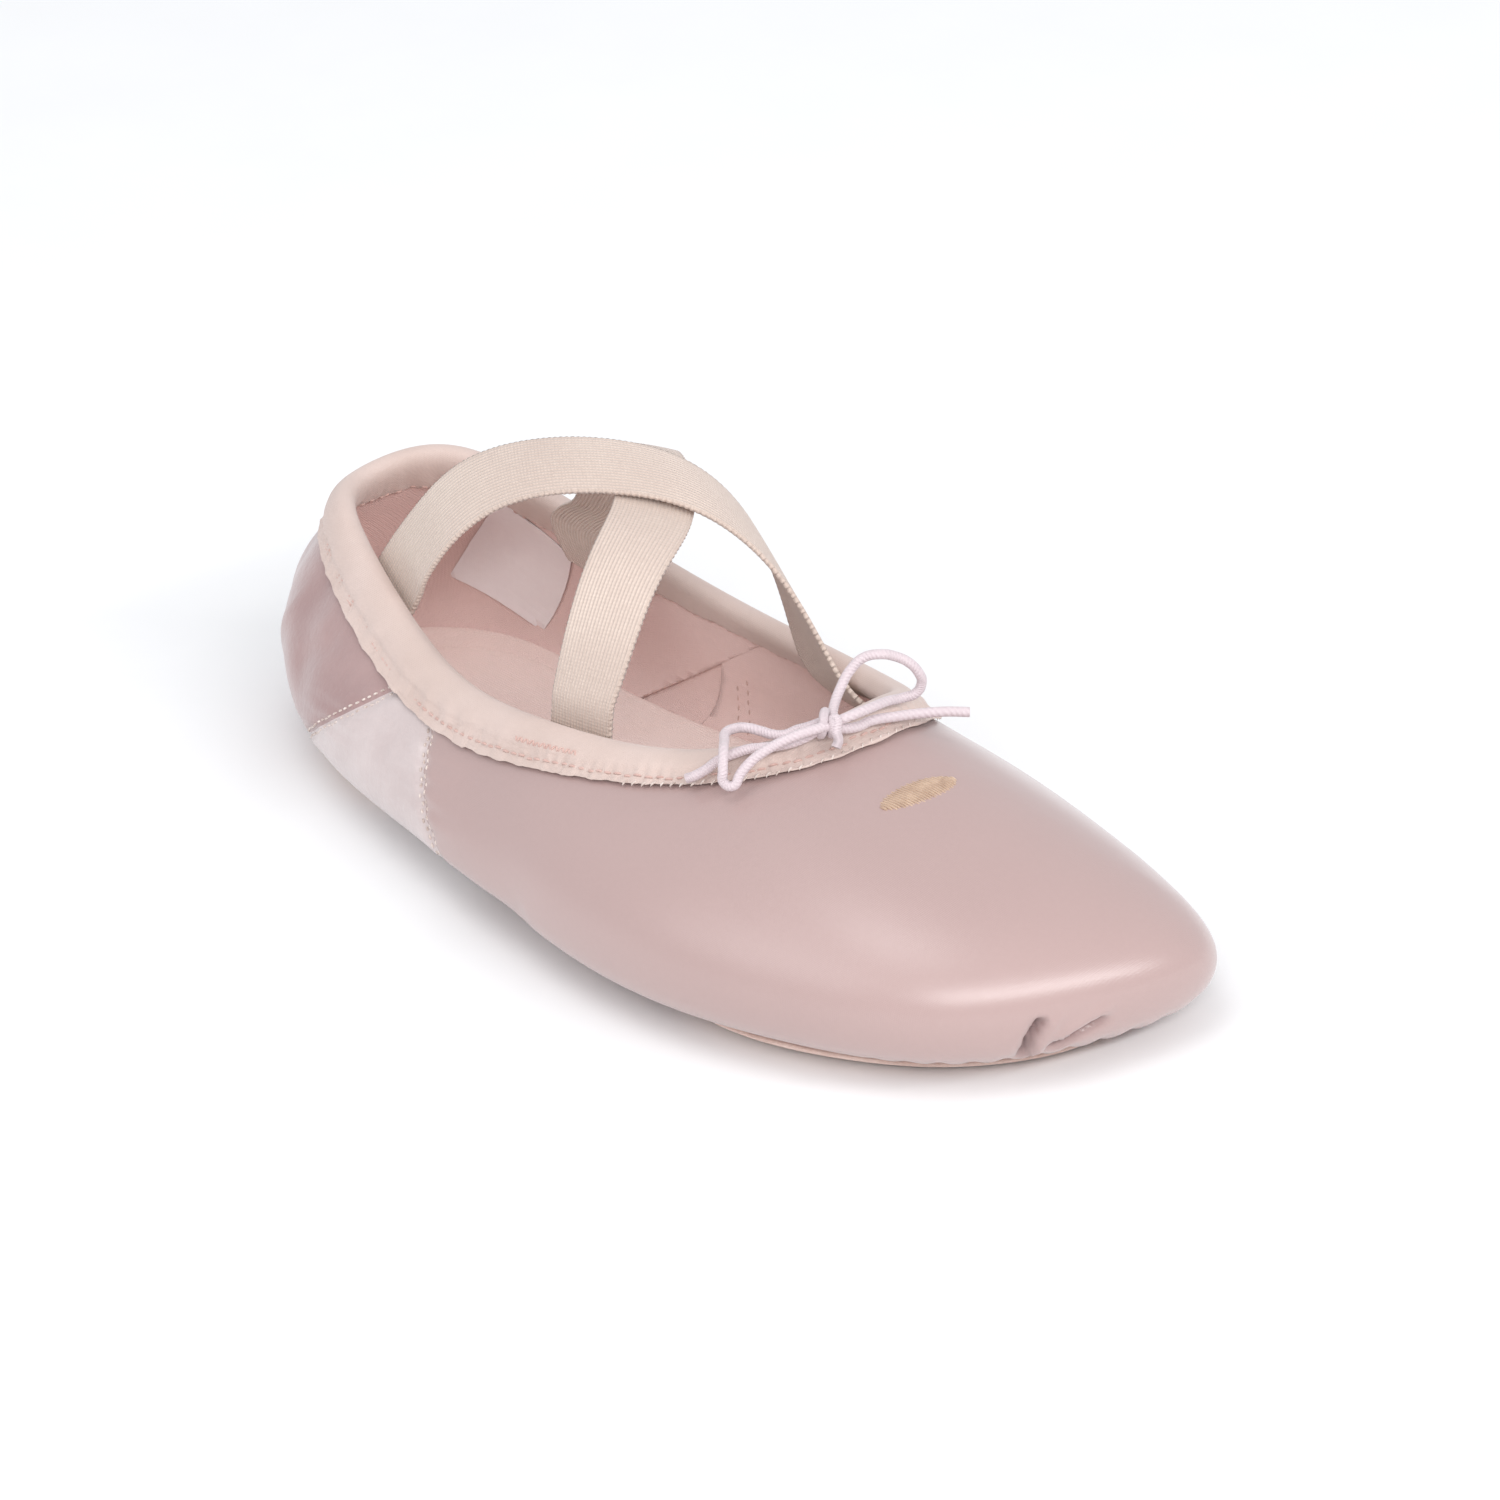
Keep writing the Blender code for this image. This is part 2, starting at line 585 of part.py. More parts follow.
def knot_route():
    """The knot's wrap, worked out by turns, and then its tail."""
    centre = np.array(KNOT_CENTRE) * MM
    axis = np.array(KNOT_AXIS)
    toward = np.array([KNOT_AXIS[1], -KNOT_AXIS[0], 0.0])
    up = np.array([0.0, 0.0, 1.0])
    points = []
    for step in range(KNOT_TURN_COUNT + 1):
        turned = step * KNOT_TURN_STEP
        angle = np.radians(KNOT_START + turned)
        along = KNOT_PITCH * (turned / 360.0 - 0.5 * KNOT_TURN_COUNT * KNOT_TURN_STEP / 360.0)
        ring = np.cos(angle) * toward + np.sin(angle) * up
        points.append(centre + KNOT_RADIUS * ring + along * axis)
    return points + [np.array(point) * MM for point in KNOT_TAIL]


def make_bow(collection, finish):
    for name, route in BOW_ROUTES.items():
        add_cord(name, cord_route(route), finish, collection)
    add_cord("bow_knot", knot_route(), finish, collection)


def main():
    remove_everything()
    scene = bpy.context.scene.collection
    slipper = bpy.data.collections.new("ballet_slipper")
    cutters = bpy.data.collections.new("cutters")
    scene.children.link(slipper)
    scene.children.link(cutters)
    satin = material("satin", (0.63, 0.45, 0.43), 0.35)
    cotton = material("cotton_binding", (0.80, 0.64, 0.60), 0.80)
    suede = material("suede", (0.84, 0.63, 0.56), 0.95)
    lining = material("sock_lining", (0.75, 0.52, 0.48), 0.85)
    elastic = material("elastic", (0.80, 0.68, 0.60), 0.80)
    cord = material("drawstring", (0.81, 0.68, 0.70), 0.70)
    shoe = Shoe()
    make_upper(shoe, slipper, cutters, satin)
    make_binding(shoe, slipper, cotton)
    make_sole("heel_sole", HEEL_SOLE, shoe, slipper, suede)
    make_sole("forefoot_sole", FOREFOOT_SOLE, shoe, slipper, suede)
    make_insole(shoe, slipper, lining)
    make_heel_pad(shoe, slipper, lining)
    for name in STRAP_ROUTES:
        make_strap(name, shoe, slipper, elastic)
    make_bow(slipper, cord)


main()
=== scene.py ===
# %% [markdown]
# # A satin ballet slipper
#
# This lesson dresses a plain solid model of a right ballet slipper. The solids give every size and
# place. Here they get smooth skins, three panels of satin, a gathered casing, woven elastic straps,
# a drawstring bow and all their stitches. Each step says what the piece is on the real slipper.

import math

import bpy
import bmesh
import numpy as np
from mathutils import Matrix, Vector


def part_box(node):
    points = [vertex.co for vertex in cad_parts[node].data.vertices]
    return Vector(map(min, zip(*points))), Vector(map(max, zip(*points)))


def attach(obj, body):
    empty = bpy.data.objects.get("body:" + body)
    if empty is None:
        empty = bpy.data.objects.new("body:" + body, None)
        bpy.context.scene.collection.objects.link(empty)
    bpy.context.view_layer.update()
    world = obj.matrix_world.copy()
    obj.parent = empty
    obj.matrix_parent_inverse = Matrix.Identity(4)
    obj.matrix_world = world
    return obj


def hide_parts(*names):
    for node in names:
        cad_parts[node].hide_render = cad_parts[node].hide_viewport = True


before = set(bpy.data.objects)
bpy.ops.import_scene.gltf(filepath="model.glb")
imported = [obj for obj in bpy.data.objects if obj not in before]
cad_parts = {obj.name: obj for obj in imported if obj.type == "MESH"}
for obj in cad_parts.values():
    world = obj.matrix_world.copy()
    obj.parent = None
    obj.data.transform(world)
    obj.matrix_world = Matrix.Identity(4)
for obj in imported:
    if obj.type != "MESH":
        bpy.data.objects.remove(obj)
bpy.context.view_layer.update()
MM = 0.001
print("solid nodes:", ", ".join(sorted(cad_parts)))

# %% [markdown]
# Every later place is given in shares of the slipper's own sizes, so that it would follow a longer
# or wider one. The sizes come from the upper's box: its length, half of its width at the ball, and
# the height of its collar.

# %% The slipper's own sizes
upper_low, upper_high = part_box("upper")
LENGTH = upper_high.x - upper_low.x
HALF_WIDTH = 0.5 * (upper_high.y - upper_low.y)
COLLAR_HEIGHT = upper_high.z


def place(along, across, up):
    """A point from its shares: along from heel to toe, across to the inner side, up to the collar."""
    return Vector(((along - 0.5) * LENGTH, across * HALF_WIDTH, up * COLLAR_HEIGHT))


print(f"length {LENGTH / MM:.0f} mm, width {2 * HALF_WIDTH / MM:.0f} mm, collar {COLLAR_HEIGHT / MM:.0f} mm")

# %% [markdown]
# The camera looks from the outer front side, a little from above, with a long lens. Its turn round
# the slipper, its height angle and its small roll are the three angles that a photographer would
# note down. A camera looks along its own negative Z axis, so its three axes are worked out first.

# %% Camera
TURN = math.radians(52.4)
RISE = math.radians(28.1)
ROLL = math.radians(-3.73)
CAMERA_DISTANCE = 1.628
LENS = 205.2
AIM = Vector((-0.0005, 0.016, 0.020))

back = Vector((math.sin(TURN) * math.cos(RISE), -math.cos(TURN) * math.cos(RISE), math.sin(RISE)))
level = Vector((math.cos(TURN), math.sin(TURN), 0.0))
upward = back.cross(level)
right = level * math.cos(ROLL) + upward * math.sin(ROLL)
top = upward * math.cos(ROLL) - level * math.sin(ROLL)

bpy.ops.object.select_all(action="DESELECT")
bpy.ops.object.camera_add(location=AIM + back * CAMERA_DISTANCE)
camera = bpy.context.object
camera.name = "camera"
camera.data.sensor_width = 36.0
camera.data.lens = LENS
camera.rotation_euler = Matrix((right, top, back)).transposed().to_euler()
bpy.context.scene.camera = camera
print("camera at", [round(value, 3) for value in camera.location])

# %% [markdown]
# Studio light for satin is broad and soft. A long low strip of light stands on the toe's side, so
# that the toe's rolled edge catches a bright band. A second light fills the near side, and a third
# one above reaches into the opening. The floor is a plain pale sheet that doesn't belong to the slipper.

# %% Floor and lights
bpy.ops.mesh.primitive_plane_add(size=6.0, location=(0.0, 0.0, -0.02 * MM))
floor = bpy.context.object
floor.name = "floor"


def softbox(name, direction, distance, width, height, power):
    """A flat light at a distance in a direction from the slipper, turned to face it."""
    direction = Vector(direction).normalized()
    bpy.ops.object.light_add(type="AREA", location=direction * distance)
    light = bpy.context.object
    light.name = name
    light.data.shape = "RECTANGLE"
    light.data.size = width
    light.data.size_y = height
    light.data.energy = power
    light.rotation_euler = direction.to_track_quat("Z", "Y").to_euler()
    return light


softbox("key_light", (0.72, -0.10, 0.56), 1.6, 2.20, 0.20, 18.0)
softbox("near_light", (-0.10, -0.85, 0.60), 1.8, 1.20, 1.20, 6.0)
softbox("high_light", (0.05, -0.25, 1.00), 1.8, 0.90, 0.90, 5.5)
world = bpy.data.worlds.new("studio")
world.use_nodes = True
world.node_tree.nodes["Background"].inputs["Color"].default_value = (0.94, 0.96, 1.0, 1.0)
world.node_tree.nodes["Background"].inputs["Strength"].default_value = 0.70
bpy.context.scene.world = world
bpy.context.scene.view_settings.view_transform = "Standard"

# %% [markdown]
# ## Materials
#
# A node group is a small tool that several materials share. The first one weaves: two sine waves
# at right angles give the height of warp and weft threads, and their number for each metre is an
# input, so that the same group makes fine satin or coarse cotton.

# %% A helper for node groups, and the weave


def new_group(name, inputs, outputs):
    """An empty shader group with named sockets, and its two end nodes."""
    group = bpy.data.node_groups.new(name, "ShaderNodeTree")
    for label, kind, value in inputs:
        socket = group.interface.new_socket(name=label, in_out="INPUT", socket_type=kind)
        if value is not None:
            socket.default_value = value
    for label, kind in outputs:
        group.interface.new_socket(name=label, in_out="OUTPUT", socket_type=kind)
    return group, group.nodes.new("NodeGroupInput"), group.nodes.new("NodeGroupOutput")


def math_node(tree, operation, first, second=None):
    """A Math node whose inputs are sockets or plain numbers."""
    node = tree.nodes.new("ShaderNodeMath")
    node.operation = operation
    for index, value in enumerate((first, second)):
        if value is None:
            continue
        if isinstance(value, (int, float)):
            node.inputs[index].default_value = value
        else:
            tree.links.new(value, node.inputs[index])
    return node.outputs[0]


weave_group, enter, leave = new_group(
    "woven_threads",
    [("Vector", "NodeSocketVector", None), ("Warp", "NodeSocketFloat", 2000.0),
     ("Weft", "NodeSocketFloat", 2000.0)],
    [("Height", "NodeSocketFloat")])
split = weave_group.nodes.new("ShaderNodeSeparateXYZ")
weave_group.links.new(enter.outputs["Vector"], split.inputs[0])
slant = math_node(weave_group, "ADD", split.outputs["Y"], split.outputs["Z"])
warp = math_node(weave_group, "MULTIPLY", split.outputs["X"], enter.outputs["Warp"])
weft = math_node(weave_group, "MULTIPLY", slant, enter.outputs["Weft"])
warp = math_node(weave_group, "SINE", math_node(weave_group, "MULTIPLY", warp, 2.0 * math.pi))
weft = math_node(weave_group, "SINE", math_node(weave_group, "MULTIPLY", weft, 2.0 * math.pi))
height = math_node(weave_group, "ADD", warp, weft)
weave_group.links.new(height, leave.inputs["Height"])
print("group", weave_group.name)

# %% [markdown]
# Cloth is never one flat colour. The next group drifts between two near tones in soft clouds, with
# finer flecks on top. A third group gives fibre height for suede, for fuzzy thread and for slubs.

# %% Groups for tone and for fibres
tone_group, enter, leave = new_group(
    "tone_drift",
    [("Vector", "NodeSocketVector", None), ("Tone", "NodeSocketColor", (0.8, 0.7, 0.7, 1.0)),
     ("Shade", "NodeSocketColor", (0.7, 0.6, 0.6, 1.0)), ("Cloud Scale", "NodeSocketFloat", 30.0),
     ("Fleck Scale", "NodeSocketFloat", 900.0), ("Fleck", "NodeSocketFloat", 0.25)],
    [("Color", "NodeSocketColor"), ("Mask", "NodeSocketFloat")])
clouds = tone_group.nodes.new("ShaderNodeTexNoise")
flecks = tone_group.nodes.new("ShaderNodeTexNoise")
clouds.inputs["Detail"].default_value = 3.0
flecks.inputs["Detail"].default_value = 2.0
for texture, scale in ((clouds, "Cloud Scale"), (flecks, "Fleck Scale")):
    tone_group.links.new(enter.outputs["Vector"], texture.inputs["Vector"])
    tone_group.links.new(enter.outputs[scale], texture.inputs["Scale"])
cloud = math_node(tone_group, "MULTIPLY", math_node(tone_group, "SUBTRACT", clouds.outputs[0], 0.3), 2.2)
fleck = math_node(tone_group, "MULTIPLY", math_node(tone_group, "SUBTRACT", flecks.outputs[0], 0.5),
                  enter.outputs["Fleck"])
mask = math_node(tone_group, "ADD", cloud, math_node(tone_group, "MULTIPLY", fleck, 4.0))
mask.node.use_clamp = True
blend = tone_group.nodes.new("ShaderNodeMix")
blend.data_type = "RGBA"
tone_group.links.new(mask, blend.inputs["Factor"])
tone_group.links.new(enter.outputs["Shade"], blend.inputs[6])
tone_group.links.new(enter.outputs["Tone"], blend.inputs[7])
tone_group.links.new(blend.outputs[2], leave.inputs["Color"])
tone_group.links.new(mask, leave.inputs["Mask"])

fibre_group, enter, leave = new_group(
    "fibres",
    [("Vector", "NodeSocketVector", None), ("Scale", "NodeSocketFloat", 1200.0)],
    [("Height", "NodeSocketFloat")])
nap = fibre_group.nodes.new("ShaderNodeTexNoise")
nap.inputs["Detail"].default_value = 4.0
nap.inputs["Roughness"].default_value = 0.7
fibre_group.links.new(enter.outputs["Vector"], nap.inputs["Vector"])
fibre_group.links.new(enter.outputs["Scale"], nap.inputs["Scale"])
fibre_group.links.new(nap.outputs[0], leave.inputs["Height"])
print("groups", tone_group.name, fibre_group.name)

# %% [markdown]
# One function builds a cloth from those groups. Colours are written as screen values from 0 to 255,
# as a colour picker shows them, and turned into the linear values that a shader wants. Numbers that
# are the same all over, such as sheen and specular level, are set on the shader's own sockets. Deep
# in a fold little light arrives, so an attribute named fold, from 0 to 1, darkens the cloth there.

# %% Cloth material


def colour(red, green, blue):
    """A linear colour from screen values between 0 and 255."""
    linear = []
    for value in (red, green, blue):
        share = value / 255.0
        linear.append(share / 12.92 if share < 0.04045 else ((share + 0.055) / 1.055) ** 2.4)
    return (*linear, 1.0)


def add_group(tree, group, vector, **values):
    """A group node fed with a vector and with plain values by their socket names."""
    node = tree.nodes.new("ShaderNodeGroup")
    node.node_tree = group
    tree.links.new(vector, node.inputs["Vector"])
    for label, value in values.items():
        node.inputs[label.replace("_", " ")].default_value = value
    return node


def add_bump(tree, height, distance, strength, below=None):
    """A Bump node over another one's normal."""
    bump = tree.nodes.new("ShaderNodeBump")
    bump.inputs["Distance"].default_value = distance
    bump.inputs["Strength"].default_value = strength
    tree.links.new(height, bump.inputs["Height"])
    if below is not None:
        tree.links.new(below, bump.inputs["Normal"])
    return bump.outputs["Normal"]


def cloth(name, tone, shade, warp, weft, roughness, relief, sheen=0.2, specular=0.4,
          clouds=30.0, fleck=0.12, fibre=1500.0, fuzz=0.05, crush=0.0, turn=0.0):
    """A woven cloth: two tones, warp and weft for each metre, and a nap of fibres."""
    made = bpy.data.materials.new(name)
    made.use_nodes = True
    tree = made.node_tree
    shader = tree.nodes["Principled BSDF"]
    source = tree.nodes.new("ShaderNodeTexCoord").outputs["Object"]
    mapping = tree.nodes.new("ShaderNodeMapping")
    mapping.inputs["Rotation"].default_value = (0.0, 0.0, math.radians(turn))
    tree.links.new(source, mapping.inputs["Vector"])
    vector = mapping.outputs["Vector"]
    tones = add_group(tree, tone_group, vector, Tone=tone, Shade=shade, Cloud_Scale=clouds, Fleck=fleck)
    fold = tree.nodes.new("ShaderNodeAttribute")
    fold.attribute_name = "fold"
    deep = tree.nodes.new("ShaderNodeMix")
    deep.data_type = "RGBA"
    tree.links.new(fold.outputs["Fac"], deep.inputs["Factor"])
    tree.links.new(tones.outputs["Color"], deep.inputs[6])
    deep.inputs[7].default_value = colour(112, 78, 76)
    tree.links.new(deep.outputs[2], shader.inputs["Base Color"])
    threads = add_group(tree, weave_group, vector, Warp=warp, Weft=weft)
    nap = add_group(tree, fibre_group, vector, Scale=fibre)
    normal = add_bump(tree, threads.outputs["Height"], relief, 0.6)
    normal = add_bump(tree, nap.outputs["Height"], fuzz * MM, 0.7, normal)
    normal = add_bump(tree, tones.outputs["Mask"], crush * MM, 1.0, normal)
    tree.links.new(normal, shader.inputs["Normal"])
    shader.inputs["Roughness"].default_value = roughness
    shader.inputs["Specular IOR Level"].default_value = specular
    shader.inputs["Sheen Weight"].default_value = sheen
    shader.inputs["Sheen Roughness"].default_value = 0.5
    return made


# %% [markdown]
# The slipper's cloths. Satin has long smooth threads, so it is glossy and its weave hardly shows.
# Each panel was cut in its own direction, so the satin's sheen falls differently on each, and that
# is painted into its tone: the vamp is a dusty pink, the heel's darker mauve is partly painted shade
# and the waist's near silver is partly painted sheen. The casing, the lining and the sock are matt.

# %% The materials by name
vamp_satin = cloth("vamp_satin", colour(179, 152, 148), colour(173, 146, 142), 3000, 2400, 0.27,
                   0.006 * MM, sheen=0.30, specular=0.75, clouds=14.0, fleck=0.10, fuzz=0.04)
heel_satin = cloth("heel_satin", colour(176, 146, 143), colour(160, 130, 128), 3000, 2400, 0.30,
                   0.006 * MM, sheen=0.30, specular=0.55, clouds=60.0, fleck=0.10, fuzz=0.03,
                   crush=0.25, turn=35.0)
waist_satin = cloth("waist_satin", colour(210, 196, 194), colour(196, 180, 178), 3000, 2400, 0.28,
                    0.006 * MM, sheen=0.30, specular=0.6, clouds=75.0, fleck=0.10, fuzz=0.03,
                    crush=0.30, turn=-40.0)
casing_cotton = cloth("casing_cotton", colour(213, 193, 185), colour(205, 184, 175), 2200, 2200, 0.85,
                      0.02 * MM, sheen=0.25, specular=0.2, clouds=60.0)
lining_cotton = cloth("lining_cotton", colour(234, 206, 200), colour(225, 195, 189), 2000, 2000, 0.9,
                      0.03 * MM, sheen=0.2, specular=0.15, clouds=40.0)
sock_cotton = cloth("sock_cotton", colour(246, 226, 220), colour(238, 215, 208), 1600, 1600, 0.9,
                    0.03 * MM, sheen=0.15, specular=0.15, clouds=30.0)
suede = cloth("napped_suede", colour(240, 214, 203), colour(222, 192, 180), 300, 300, 0.97, 0.0,
              sheen=0.4, specular=0.1, clouds=70.0, fleck=0.35, fibre=2200.0, fuzz=0.25)
thread = cloth("thread", colour(218, 184, 174), colour(196, 160, 150), 4000, 4000, 0.5, 0.02 * MM,
               sheen=0.3, specular=0.5, clouds=300.0)
glossy_thread = cloth("glossy_thread", colour(240, 226, 218), colour(196, 176, 166), 5000, 5000, 0.25,
                      0.02 * MM, sheen=0.2, specular=0.8, clouds=900.0)
label_tape = cloth("label_tape", colour(248, 242, 241), colour(240, 231, 231), 2600, 2600, 0.6,
                   0.01 * MM, sheen=0.1, specular=0.3, clouds=60.0)
gold_thread = cloth("gold_thread", colour(206, 176, 150), colour(176, 144, 120), 5000, 5000, 0.34,
                    0.02 * MM, sheen=0.3, specular=0.7, clouds=500.0)
floor_paper = cloth("floor_paper", colour(246, 246, 246), colour(244, 244, 244), 100, 100, 0.9, 0.0,
                    sheen=0.0, specular=0.1, fleck=0.0, fuzz=0.0)
floor.data.materials.append(floor_paper)
print("materials:", len(bpy.data.materials))

# %% [markdown]
# Elastic and cord have a pattern that follows their length, so these two read the piece's own UV
# map: on the elastic it is written in metres, and on the cord it runs from 0 to 1 along and round.
# Elastic shows fine ribs lengthwise with short crossing threads, the cord slanted strands.

# %% Elastic and braided cord


def lengthwise(name, tone, shade, along, across, slanted, relief, roughness):
    """A knitted or braided band whose threads follow its length, from its UV map."""
    made = bpy.data.materials.new(name)
    made.use_nodes = True
    tree = made.node_tree
    shader = tree.nodes["Principled BSDF"]
    vector = tree.nodes.new("ShaderNodeTexCoord").outputs["UV"]
    split = tree.nodes.new("ShaderNodeSeparateXYZ")
    tree.links.new(vector, split.inputs[0])
    run = math_node(tree, "MULTIPLY", split.outputs["X"], along)
    side = math_node(tree, "MULTIPLY", split.outputs["Y"], across)
    if slanted:
        run, side = math_node(tree, "ADD", run, side), math_node(tree, "SUBTRACT", run, side)
    run = math_node(tree, "SINE", math_node(tree, "MULTIPLY", run, 2.0 * math.pi))
    side = math_node(tree, "SINE", math_node(tree, "MULTIPLY", side, 2.0 * math.pi))
    height = math_node(tree, "ADD", math_node(tree, "MULTIPLY", run, 0.35), side)
    tones = add_group(tree, tone_group, vector, Tone=tone, Shade=shade, Cloud_Scale=40.0, Fleck=0.3)
    # Low places between the threads are mixed toward the shade colour: painted shade in the grooves.
    groove_shade = math_node(tree, "MULTIPLY", math_node(tree, "ADD", height, 1.35), 0.37)
    groove_shade.node.use_clamp = True
    tint = tree.nodes.new("ShaderNodeMix")
    tint.data_type = "RGBA"
    tree.links.new(groove_shade, tint.inputs["Factor"])
    tint.inputs[6].default_value = shade
    tree.links.new(tones.outputs["Color"], tint.inputs[7])
    tree.links.new(tint.outputs[2], shader.inputs["Base Color"])
    nap = add_group(tree, fibre_group, vector, Scale=3000.0)
    normal = add_bump(tree, height, relief, 0.8)
    tree.links.new(add_bump(tree, nap.outputs["Height"], 0.08 * MM, 0.6, normal), shader.inputs["Normal"])
    shader.inputs["Roughness"].default_value = roughness
    shader.inputs["Specular IOR Level"].default_value = 0.35
    shader.inputs["Sheen Weight"].default_value = 0.3
    return made


elastic = lengthwise("woven_elastic", colour(228, 210, 197), colour(206, 186, 174), 1400, 1250, False,
                     0.10 * MM, 0.7)
cord_braid = lengthwise("cord_braid", colour(226, 214, 216), colour(212, 195, 199), 110, 3, True,
                        0.05 * MM, 0.42)
print("lengthwise materials:", elastic.name, cord_braid.name)

# %% [markdown]
# ## The drawstring bow
#
# The cord inside the casing comes out at the throat and is tied in a small bow. A cord that is
# pulled through a knot keeps its line, so each length here is one smooth curve: it starts in the
# knot, goes round its loop, back through the knot and out on the other side as a free end. The
# route points are chosen where the cord lies on the casing or stands over the opening.

# %% Bow cords
CORD_DIAMETER = 1.9 * MM
RIGHT_LOOP = (
    (44.6, 0.8, 49.6), (42.6, 3.0, 50.6), (41.0, 6.0, 52.5), (40.5, 9.0, 55.0), (41.5, 11.5, 57.0),
    (43.5, 14.0, 57.5), (44.5, 16.5, 56.5), (46.0, 18.5, 55.0), (47.0, 20.0, 52.5),
    (47.0, 20.5, 50.5), (46.5, 19.5, 48.5), (45.5, 17.0, 48.0), (46.0, 13.0, 49.0),
    (47.5, 7.5, 50.2), (47.6, 2.5, 50.4), (45.6, -1.6, 49.2), (43.0, -5.5, 46.9),
    (40.6, -8.5, 45.9), (38.0, -11.0, 45.4), (36.5, -12.5, 45.2), (35.0, -15.0, 44.6),
    (33.5, -18.0, 43.6), (33.0, -20.0, 42.6), (32.0, -22.5, 41.6), (31.0, -23.5, 41.1),
)
LEFT_LOOP = (
    (43.6, -0.6, 49.0), (41.6, -2.6, 47.9), (40.0, -4.0, 47.2), (39.0, -6.0, 46.6), (37.5, -7.5, 46.6),
    (35.0, -8.5, 46.8), (32.0, -10.0, 47.0), (31.0, -11.5, 47.0), (31.0, -13.5, 47.0),
    (33.5, -16.0, 47.0), (37.5, -19.5, 47.0), (39.0, -21.0, 44.8), (39.5, -21.4, 42.8),
    (41.0, -20.5, 42.2), (41.0, -18.5, 44.0), (41.5, -16.0, 46.0), (42.5, -13.5, 47.5),
    (43.5, -11.0, 48.5), (45.0, -8.0, 49.5), (46.0, -5.0, 49.8), (46.4, -1.6, 49.4),
    (47.0, 1.0, 48.2), (47.5, 4.5, 47.5), (47.5, 7.5, 47.5), (48.0, 13.0, 46.5), (49.5, 17.5, 46.0),
    (52.5, 21.5, 46.0), (55.0, 25.0, 45.5),
)
KNOT_MIDDLE = Vector((44.9, -0.9, 49.3)) * MM


def cord_piece(name, points):
    """A round cord as one smooth curve through points in metres."""
    curve = bpy.data.curves.new(name, "CURVE")
    curve.dimensions = "3D"
    curve.bevel_depth = 0.5 * CORD_DIAMETER
    curve.bevel_resolution = 6
    curve.resolution_u = 10
    curve.use_fill_caps = True
    line = curve.splines.new("BEZIER")
    line.bezier_points.add(len(points) - 1)
    for knot, point in zip(line.bezier_points, points):
        knot.co = point
        knot.handle_left_type = "AUTO"
        knot.handle_right_type = "AUTO"
    piece = bpy.data.objects.new(name, curve)
    bpy.context.scene.collection.objects.link(piece)
    return piece


def route_length(points):
    return sum((second - first).length for first, second in zip(points, points[1:]))


def finish_cord(name, points, *nodes):
    """A cord piece in its braid, standing for its solids."""
    piece = cord_piece(name, points)
    piece.data.materials.append(cord_braid)
    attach(piece, "root")
    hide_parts(*nodes)
    print(name, f"{route_length(points) / MM:.0f} mm long")
    return piece


right_points = [Vector(point) * MM for point in RIGHT_LOOP]
left_points = [Vector(point) * MM for point in LEFT_LOOP]
bow_right = finish_cord("bow_right", right_points, "bow_loop_right", "bow_end_left")
bow_left = finish_cord("bow_left", left_points, "bow_loop_left", "bow_end_right")

# %% [markdown]
# The knot is the cord's own wrap round the bow's middle, one and a half turns, with a short tail
# over the casing. A wrap is a helix, so its points come from a loop.

# %% Knot
WRAP_AXIS = Vector((0.61, 0.79, 0.0))
WRAP_TOWARD = Vector((0.79, -0.61, 0.0))
WRAP_RADIUS = 2.0 * MM
WRAP_PITCH = 2.0 * MM
WRAP_START = -150
WRAP_STEPS = 14
WRAP_STEP = 40
KNOT_TAIL = ((48.2, -1.2, 48.6), (48.8, -1.4, 47.2), (49.0, -2.2, 46.2))

wrap = []
for step in range(WRAP_STEPS + 1):
    angle = math.radians(WRAP_START + WRAP_STEP * step)
    shift = WRAP_PITCH * WRAP_STEP * (step - 0.5 * WRAP_STEPS) / 360.0
    spoke = WRAP_TOWARD * math.cos(angle) + Vector((0.0, 0.0, math.sin(angle)))
    wrap.append(KNOT_MIDDLE + spoke * WRAP_RADIUS + WRAP_AXIS * shift)
knot = finish_cord("knot_wrap", wrap + [Vector(point) * MM for point in KNOT_TAIL], "bow_knot")

# %% [markdown]
# ## Skins from the solids
#
# The solids are faceted, because a computer that tests how parts touch wants few faces. A copy of
# such a mesh, with its doubles merged and its triangles paired into quads again, is a good cage
# for a Subdivision Surface modifier. These helpers copy a node, pick faces and smooth a piece.

# %% Helpers for meshes


def select_only(piece):
    bpy.ops.object.select_all(action="DESELECT")
    piece.select_set(True)
    bpy.context.view_layer.objects.active = piece


def copy_node(node, name):
    """A solid node's mesh as a new piece of clean quads."""
    piece = bpy.data.objects.new(name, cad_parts[node].data.copy())
    bpy.context.scene.collection.objects.link(piece)
    piece.data.materials.clear()
    select_only(piece)
    bpy.ops.mesh.customdata_custom_splitnormals_clear()
    bpy.ops.object.mode_set(mode="EDIT")
    bpy.ops.mesh.select_all(action="SELECT")
    bpy.ops.mesh.remove_doubles(threshold=0.005 * MM)
    bpy.ops.mesh.tris_convert_to_quads(face_threshold=math.radians(50), shape_threshold=math.radians(60))
    bpy.ops.object.mode_set(mode="OBJECT")
    return piece


def duplicate(piece, name):
    made = bpy.data.objects.new(name, piece.data.copy())
    bpy.context.scene.collection.objects.link(made)
    return made


def read(values, key, size=3):
    """A property of all vertices or faces as rows of numbers."""
    rows = np.empty(len(values) * size)
    values.foreach_get(key, rows)
    return rows.reshape(-1, size)


def write_points(piece, points):
    piece.data.vertices.foreach_set("co", np.ascontiguousarray(points).ravel())
    piece.data.update()


